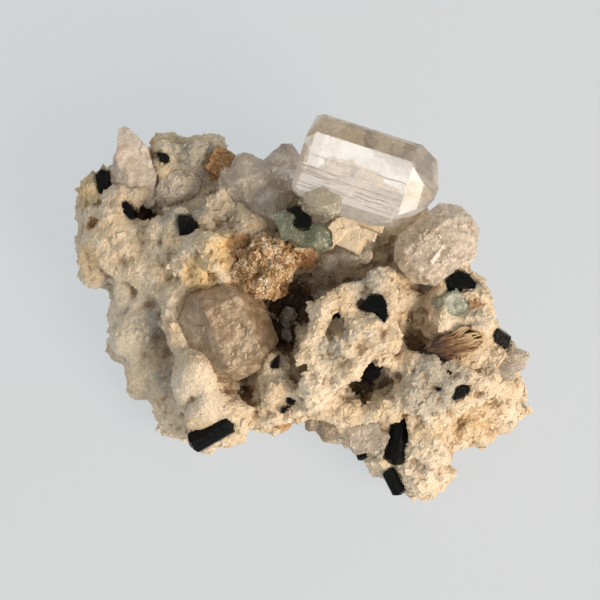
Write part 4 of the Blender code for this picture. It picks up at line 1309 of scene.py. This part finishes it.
@dataclass
class RockGrains:
    """Loose-edged grains that stand out of the rock's skin."""

    name: str
    cover: Cover
    lie: Scatter
    slot: str = "albite"

    def build(self, rock: Thing, tree: Tree, grains: Collection, finish: Material) -> None:
        """Scatters the grains over the rock.

        Args:
            rock: the finished rock.
            tree: the scatter.
            grains: the shapes to pick from.
            finish: the grains' material.
        """
        thing = add_object(self.name, rock.data.copy())
        store(thing, "cover", self.coverage(thing))
        self.lie.apply(thing, tree, grains, finish)
        hand_over(thing, self.slot)

    def coverage(self, thing: Thing) -> np.ndarray:
        """How thickly each vertex of the rock is covered. Its sawn base stays bare.

        Args:
            thing: an object with the finished rock's mesh.

        Returns:
            A share from 0 to 1 for each vertex.
        """
        near, smooth, rust = (recall(thing, name) for name in ("near", "smooth", "rust"))
        share = {
            Cover.ROUGH: np.clip(1 - 1.5 * smooth, 0, 1) * (near < 0.6),
            Cover.SMOOTH: np.clip(1.5 * smooth, 0, 1) * (near < 0.6),
            Cover.CONTACT: near > 0.55,
            Cover.RUST: np.clip(1.6 * rust - 0.3, 0, 1) * (near < 0.9),
        }[self.cover]
        return share * (places(thing)[:, 2] > 0.6 + 0.5 * self.lie.sizes[1])


@dataclass
class Schorls:
    """Every black crystal, finely ridged along its length."""

    cell: float = 0.22
    wear: float = 0.08
    blunt_angle: float = 12.0
    ridge: float = 0.3
    depth: float = 0.05

    def build(self) -> None:
        """Makes each crystal and gives it to the frame."""
        material = BlackSchorl().material()
        for node in sorted(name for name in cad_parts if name.startswith("schorl_")):
            shape = welded_shape(node)
            blunt(shape, self.blunt_angle, self.wear, 1)
            bmesh.ops.triangulate(shape, faces=shape.faces)
            self.refine(shape)
            thing = add_shape(node + "_ridged", shape)
            points = places(thing)
            lath = (points - points.mean(axis=0)) @ self.axes(points).T
            store(thing, "lath", lath * MM)
            self.cut_ridges(thing, lath)
            thing.data.materials.append(material)
            hand_over(thing, "schorl", node)

    def refine(self, shape: Shape) -> None:
        """Splits long edges until none is much longer than a few cells.

        Args:
            shape: the crystal, in metres.
        """
        for _ in range(5):
            long_edges = [edge for edge in shape.edges if edge.calc_length() > 2.2 * self.cell * MM]
            if not long_edges:
                break
            bmesh.ops.subdivide_edges(shape, edges=long_edges, cuts=1)
            bmesh.ops.triangulate(shape, faces=shape.faces)

    def axes(self, points: np.ndarray) -> np.ndarray:
        """The crystal's axes, by how its points spread.

        Args:
            points: its vertices.

        Returns:
            Three rows, the crystal's length last.
        """
        spread = np.linalg.svd(points - points.mean(axis=0), full_matrices=False)[2]
        return spread[::-1]

    def cut_ridges(self, thing: Thing, lath: np.ndarray) -> None:
        """Moves each vertex in or out by ridges that run along the crystal.

        Args:
            thing: the crystal.
            lath: its vertices along its own axes, in millimetres.
        """
        mesh = thing.data
        normals = [vertex.normal.copy() for vertex in mesh.vertices]
        for vertex, normal, (a, b, c) in zip(mesh.vertices, normals, lath):
            height = noise.noise(Vector((a / self.ridge, b / self.ridge, c / self.ridge * 0.08)))
            chips = noise.noise(Vector((a, b, c)) * 1.7)
            vertex.co += normal * MM * (self.depth * height + 1.2 * self.depth * min(chips, 0))


@dataclass
class StainedDruse:
    """The ball of tiny iron-stained crystals: a lumpy core under a crust of needles."""

    node: str = "stained_druse"
    slot: str = "druse"
    cell: float = 0.3
    core_tone: float = 0.3
    lumps: Breakage = Breakage(facet=2.2, step=1.5, tilt=0.7, grain=0.8, grain_step=0.3, seed=5.0)
    crust: Scatter = Scatter(spacing=0.24, sizes=(0.25, 0.85), sink=0.05, seed=11, lie_flat=0.55)

    def build(self, surface: Tree, scatter: Tree, needles: Collection, finish: Material) -> None:
        """Makes the core and its crust of crystals.

        Args:
            surface: the tree that breaks a surface.
            scatter: the tree that scatters grains.
            needles: the shapes of its crystals.
            finish: their material.
        """
        core = add_shape("druse_core", welded_shape(self.node))
        reskin(core, self.cell)
        self.lumps.apply(core, surface, finish)
        count = len(core.data.vertices)
        store(core, "tone", np.full(count, self.core_tone))
        crust = add_object("druse_crystals", core.data.copy())
        store(crust, "cover", np.ones(count))
        self.crust.apply(crust, scatter, needles, finish)
        hand_over(core, self.slot, self.node)
        hand_over(crust, self.slot)


@dataclass
class MicaBook:
    """The book of mica: many thin leaves, warped and slipped past each other.

    Attributes:
        node: its solid.
        slot: the name of its material slot.
        leaves: how many leaves it has.
        leaf: the thinnest and the thickest.
        half_length: how far the longest reaches from the middle.
        half_depth: how far they reach into the rock, and out of it.
        columns: the vertices along a leaf.
        rows: the vertices across it.
        warp: how high its waves are.
        waves: how close these are, along the leaf, into the rock and through the stack.
        waist: the stack's height at its middle, as a share of the solid's.
        fan: how much higher it is at its right end, and lower at its left.
        frays: the least share of the half depth that a leaf reaches.
    """

    node: str = "mica_book"
    slot: str = "mica"
    leaves: int = 34
    leaf: tuple[float, float] = (0.1, 0.32)
    half_length: float = 4.7
    half_depth: float = 2.3
    columns: int = 9
    rows: int = 4
    warp: float = 0.6
    waves: tuple[float, float, float] = (0.45, 0.3, 0.5)
    waist: float = 0.85
    fan: float = 0.2
    frays: float = 0.97

    def build(self) -> None:
        """Fills the solid's form with leaves."""
        solid = welded_shape(self.node)
        points = np.array([vertex.co / MM for vertex in solid.verts])
        solid.free()
        middle = points.mean(axis=0)
        right = Vector((0.95, 0.0, 0.0)) + VIEWER_UP * 0.3 + TOWARDS_VIEWER * 0.1
        right.normalize()
        stack = VIEWER_UP * 0.95 - Vector((0.3, 0, 0))
        stack = (stack - right * right.dot(stack)).normalized()
        deep = right.cross(stack)
        heights = ((points - middle) @ np.array([right, stack, deep]).T)[:, 1]
        low, high = heights.min(), heights.max()
        chance = random.Random(21)
        shape = bmesh.new()
        tone = shape.verts.layers.float.new("tone")
        for index in range(self.leaves):
            share = (index + 0.5) / self.leaves
            height = low + (share + chance.uniform(-0.4, 0.4) / self.leaves) * (high - low)
            ends = [self.leaf_end(share, chance) for _ in range(2)]
            self.add_leaf(shape, tone, Vector(middle), (right, stack, deep), height, ends, chance)
        thing = add_shape("mica_leaves", shape)
        thing.data.materials.append(BROWN_MICA.material())
        hand_over(thing, self.slot, self.node)

    def leaf_end(self, share: float, chance: random.Random) -> float:
        """How far a leaf reaches at one of its ends, as a share of the book's half length.

        Args:
            share: the leaf's place in the stack, from 0 to 1.
            chance: the source of its unevenness.

        Returns:
            A share, less for the outermost leaves.
        """
        taper = 1 - 0.45 * abs(2 * share - 1) ** 1.5
        return taper * chance.uniform(0.55, 1.0)

    def add_leaf(self, shape: Shape, tone: bmesh.types.BMLayerItem, middle: Vector,
                 axes: tuple[Vector, Vector, Vector], height: float, ends: list[float],
                 chance: random.Random) -> None:
        """Adds one warped leaf, closed all round.

        Args:
            shape: the book so far.
            tone: the layer for each leaf's tone.
            middle: the book's middle, in millimetres.
            axes: along the leaves, through the stack, and into the rock.
            height: the leaf's place in the stack.
            ends: how far it reaches to the left and to the right.
            chance: the source of its unevenness.
        """
        right, stack, deep = axes
        last_column, last_row = self.columns - 1, self.rows - 1
        thickness = chance.uniform(*self.leaf)
        phase = chance.uniform(0, 50)
        shade = chance.random()
        tilt = chance.uniform(-0.05, 0.05)
        sides = []
        for side in (-0.5, 0.5):
            grid = {}
            for column, row in itertools.product(range(self.columns), range(self.rows)):
                across = 2 * column / last_column - 1
                along = across * self.half_length * (ends[1] if across > 0 else ends[0])
                into = (row / last_row - 0.5) * 2 * self.half_depth * chance.uniform(self.frays, 1.0)
                wave = noise.noise(Vector((along * self.waves[0], into * self.waves[1],
                                           height * self.waves[2] + phase * 0.03)))
                spread = height * (self.waist + self.fan * across) + tilt * along
                up = spread + self.warp * wave + side * thickness
                place = middle + right * along + deep * into + stack * up
                vertex = shape.verts.new(place * MM)
                mottle = 0.3 * noise.noise(Vector((along * 1.3, into, phase)))
                # Leaves grow darker towards the left end, which sinks into a hollow, and lighter towards the
                # right: painted shade and light over each leaf's random tone
                vertex[tone] = max(0.0, min(1.0, 0.5 * shade + 0.08 + 0.45 * across + mottle))
                grid[column, row] = vertex
            sides.append(grid)
        under, over = sides
        for column, row in itertools.product(range(last_column), range(last_row)):
            corners = ((column, row), (column + 1, row), (column + 1, row + 1), (column, row + 1))
            shape.faces.new([over[corner] for corner in corners])
            shape.faces.new([under[corners[index]] for index in (0, 3, 2, 1)])
        rim = [(column, 0) for column in range(self.columns)]
        rim += [(last_column, row) for row in range(1, self.rows)]
        rim += [(column, last_row) for column in range(last_column - 1, -1, -1)]
        rim += [(0, row) for row in range(last_row - 1, 0, -1)]
        for here, there in zip(rim, rim[1:] + rim[:1]):
            shape.faces.new((under[here], under[there], over[there], over[here]))


@dataclass(frozen=True)
class Lamp:
    """A square light that faces the specimen. Lengths are in millimetres, and power is in watts.

    Attributes:
        name: what it is.
        towards: its direction from the specimen.
        size: the length of its side.
        power: how strong it is.
        colour: of its light.
        only_gloss: whether only reflections see it.
        distance: how far off it is.
    """

    name: str
    towards: Vector
    size: float
    power: float
    colour: Hex
    only_gloss: bool = False
    distance: float = 500.0

    def hang(self) -> None:
        """Adds the light to the scene."""
        light = bpy.data.lights.new(self.name, "AREA")
        light.size = self.size * MM
        light.energy = self.power
        light.color = linear(self.colour)[:3]
        thing = add_object(self.name, light)
        thing.location = (VIEW_CENTRE + self.towards.normalized() * self.distance) * MM
        thing.rotation_euler = self.towards.to_track_quat("Z", "Y").to_euler()
        thing.visible_diffuse = not self.only_gloss


@dataclass
class Studio:
    """A pale floor, a warm light from the right, soft light all round, and two cards that only gloss sees."""

    floor_colour: Hex = "#6E7072"
    floor_glow: Hex = "#D0D5D8"
    glow_strength: float = 0.83
    floor_drop: float = 0.05
    floor_size: float = 2000.0
    sky_colour: Hex = "#E2DED6"
    sky_strength: float = 0.62

    def build(self) -> None:
        """Sets up the floor, the lights and the camera."""
        self.floor()
        for lamp in LAMPS:
            lamp.hang()
        world = bpy.data.worlds.new("studio")
        world.use_nodes = True
        feed(world.node_tree, world.node_tree.nodes["Background"],
             {"Color": linear(self.sky_colour), "Strength": self.sky_strength})
        bpy.context.scene.world = world
        bpy.context.scene.view_settings.view_transform = "Standard"
        self.camera()

    def floor(self) -> None:
        """The pale floor, just under the base, which glows a little so that shadows on it stay faint."""
        shape = bmesh.new()
        bmesh.ops.create_grid(shape, x_segments=1, y_segments=1, size=self.floor_size * MM)
        bmesh.ops.translate(shape, verts=shape.verts, vec=(0, 0, -self.floor_drop * MM))
        thing = add_shape("floor", shape)
        material, tree, shader = new_material("pale paper")
        feed(tree, shader, {
            "Base Color": linear(self.floor_colour), "Roughness": 0.9, "Specular IOR Level": 0.1,
            "Emission Color": linear(self.floor_glow), "Emission Strength": self.glow_strength})
        thing.data.materials.append(material)

    def camera(self) -> None:
        """The camera, where the photograph's was."""
        camera = bpy.data.cameras.new("camera")
        camera.lens = LENS
        camera.sensor_width = SENSOR
        camera.clip_start = 0.01
        thing = add_object("camera", camera)
        right = VIEWER_UP.cross(TOWARDS_VIEWER)
        turned = Matrix((right, VIEWER_UP, TOWARDS_VIEWER)).transposed().to_4x4()
        thing.matrix_world = Matrix.Translation((VIEW_CENTRE + TOWARDS_VIEWER * VIEW_DISTANCE) * MM) @ turned
        bpy.context.scene.camera = thing


def crystal_surfaces() -> BVHTree:
    """Gathers the surfaces of all solids but the rock.

    Returns:
        One tree, for distances to the nearest crystal.
    """
    shape = bmesh.new()
    for name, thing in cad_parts.items():
        if name != AlbiteRock.node:
            shape.from_mesh(thing.data)
    tree = BVHTree.FromBMesh(shape)
    shape.free()
    return tree


ROCK_GRAINS = (
    RockGrains("albite_plates", Cover.ROUGH, Scatter(spacing=1.0, sizes=(0.5, 1.5), sink=0.08, seed=2)),
    RockGrains("albite_crumbs", Cover.ROUGH, Scatter(spacing=0.55, sizes=(0.22, 0.5), sink=0.04, seed=3)),
    RockGrains("albite_sugar", Cover.SMOOTH, Scatter(spacing=0.32, sizes=(0.18, 0.46), sink=0.04, seed=4)),
    RockGrains("albite_rims", Cover.CONTACT, Scatter(
        spacing=0.4, sizes=(0.25, 0.62), sink=0.03, seed=5, lie_flat=0.3)),
)
RUSTY_GRAINS = RockGrains("rusty_crumbs", Cover.RUST, Scatter(
    spacing=0.34, sizes=(0.2, 0.55), sink=0.02, seed=6, lie_flat=0.4), "druse")

# The etched crystal keeps one fresh narrow face, which glints towards the viewer
GLINT = FreshFace(place=Vector((20.9, 4.8, 22.75)), facing=Vector((0.515, -0.506, 0.691)),
                  along=Vector((0.74, 0.63, 0.25)), length=3.6, width=0.9)

# Each crystal's place in this list is its seed
CRYSTALS = (
    Crystal("etched_topaz", ETCHED_TOPAZ, cell=0.2, facet=1.3, relief=0.24, fresh_face=GLINT),
    Crystal("brown_topaz", BROWN_TOPAZ, cell=0.24, facet=2.4, relief=0.1),
    Crystal("quartz_group", GREY_QUARTZ, cell=0.24, facet=1.4, relief=0.12),
    Crystal("ridge_quartz", MILKY_QUARTZ, cell=0.18, facet=1.2, relief=0.6),
    Crystal("pocket_quartz", GREY_QUARTZ, cell=0.18, facet=1.1, relief=0.4),
    Crystal("north_quartz", GREY_QUARTZ, cell=0.18, facet=0.9, relief=0.1),
    Crystal("slab_quartz", SMOKY_QUARTZ, cell=0.18, facet=1.0, relief=0.1),
    Crystal("south_quartz", GREY_QUARTZ, cell=0.2, facet=1.6, relief=0.3),
    Crystal("east_quartz", GREY_QUARTZ, cell=0.18, facet=0.9, relief=0.14),
    Crystal("west_quartz", GREY_QUARTZ, cell=0.16, facet=0.8, relief=0.1),
    Crystal("fluorite_centre", GREEN_FLUORITE, cell=0.16, facet=1.3, relief=0.16),
    Crystal("fluorite_back", ROUNDED_FLUORITE, cell=0.16, facet=1.2, relief=0.16),
    Crystal("fluorite_east", CRACKED_FLUORITE, cell=0.18, facet=1.2, relief=0.07),
    Crystal("fluorite_grey", CRACKED_FLUORITE, cell=0.16, facet=1.0, relief=0.12),
    Crystal("feldspar_spike", SATIN_FELDSPAR, cell=0.2, facet=2.4, relief=0.07),
    Crystal("stained_feldspar", RUSTY_FELDSPAR, cell=0.15, facet=1.0, relief=0.6),
    Crystal("amber_chip", RUSTY_FELDSPAR, cell=0.14, facet=0.7, relief=0.12),
    Crystal("albite_blades", CLEAN_ALBITE, cell=0.14, facet=1.4, relief=0.08),
)

LAMPS = (
    Lamp("key light", Vector((0.66, -0.52, 0.54)), size=260, power=2.3, colour="#FFE6C8"),
    Lamp("side card", Vector((0.80, -0.54, 0.22)), size=150, power=0.55, colour="#FFF6E8", only_gloss=True),
    Lamp("front card", Vector((-0.383, -0.476, 0.793)), size=130, power=0.2, colour="#FFFFFF",
         only_gloss=True),
)


def main() -> None:
    logging.basicConfig(level=logging.INFO)
    surface = BrokenSurface().tree()
    scatter = GrainScatter().tree()
    rock = AlbiteRock().build(surface, crystal_surfaces())
    chips = GrainShapes("albite_grain").build()
    for grains in ROCK_GRAINS:
        grains.build(rock, scatter, chips, rock.data.materials[0])
    druse = STAINED_DRUSE.material()
    needles = GrainShapes("druse_needle", kinds=5, stretch=(0.6, 0.5, 1.0), skew=0.15).build()
    RUSTY_GRAINS.build(rock, scatter, needles, druse)
    LargeTopaz().build()
    for seed, crystal in enumerate(CRYSTALS, 1):
        crystal.build(surface, float(seed))
    Schorls().build()
    StainedDruse().build(surface, scatter, needles, druse)
    MicaBook().build()
    Studio().build()


if __name__ == "__main__":
    main()
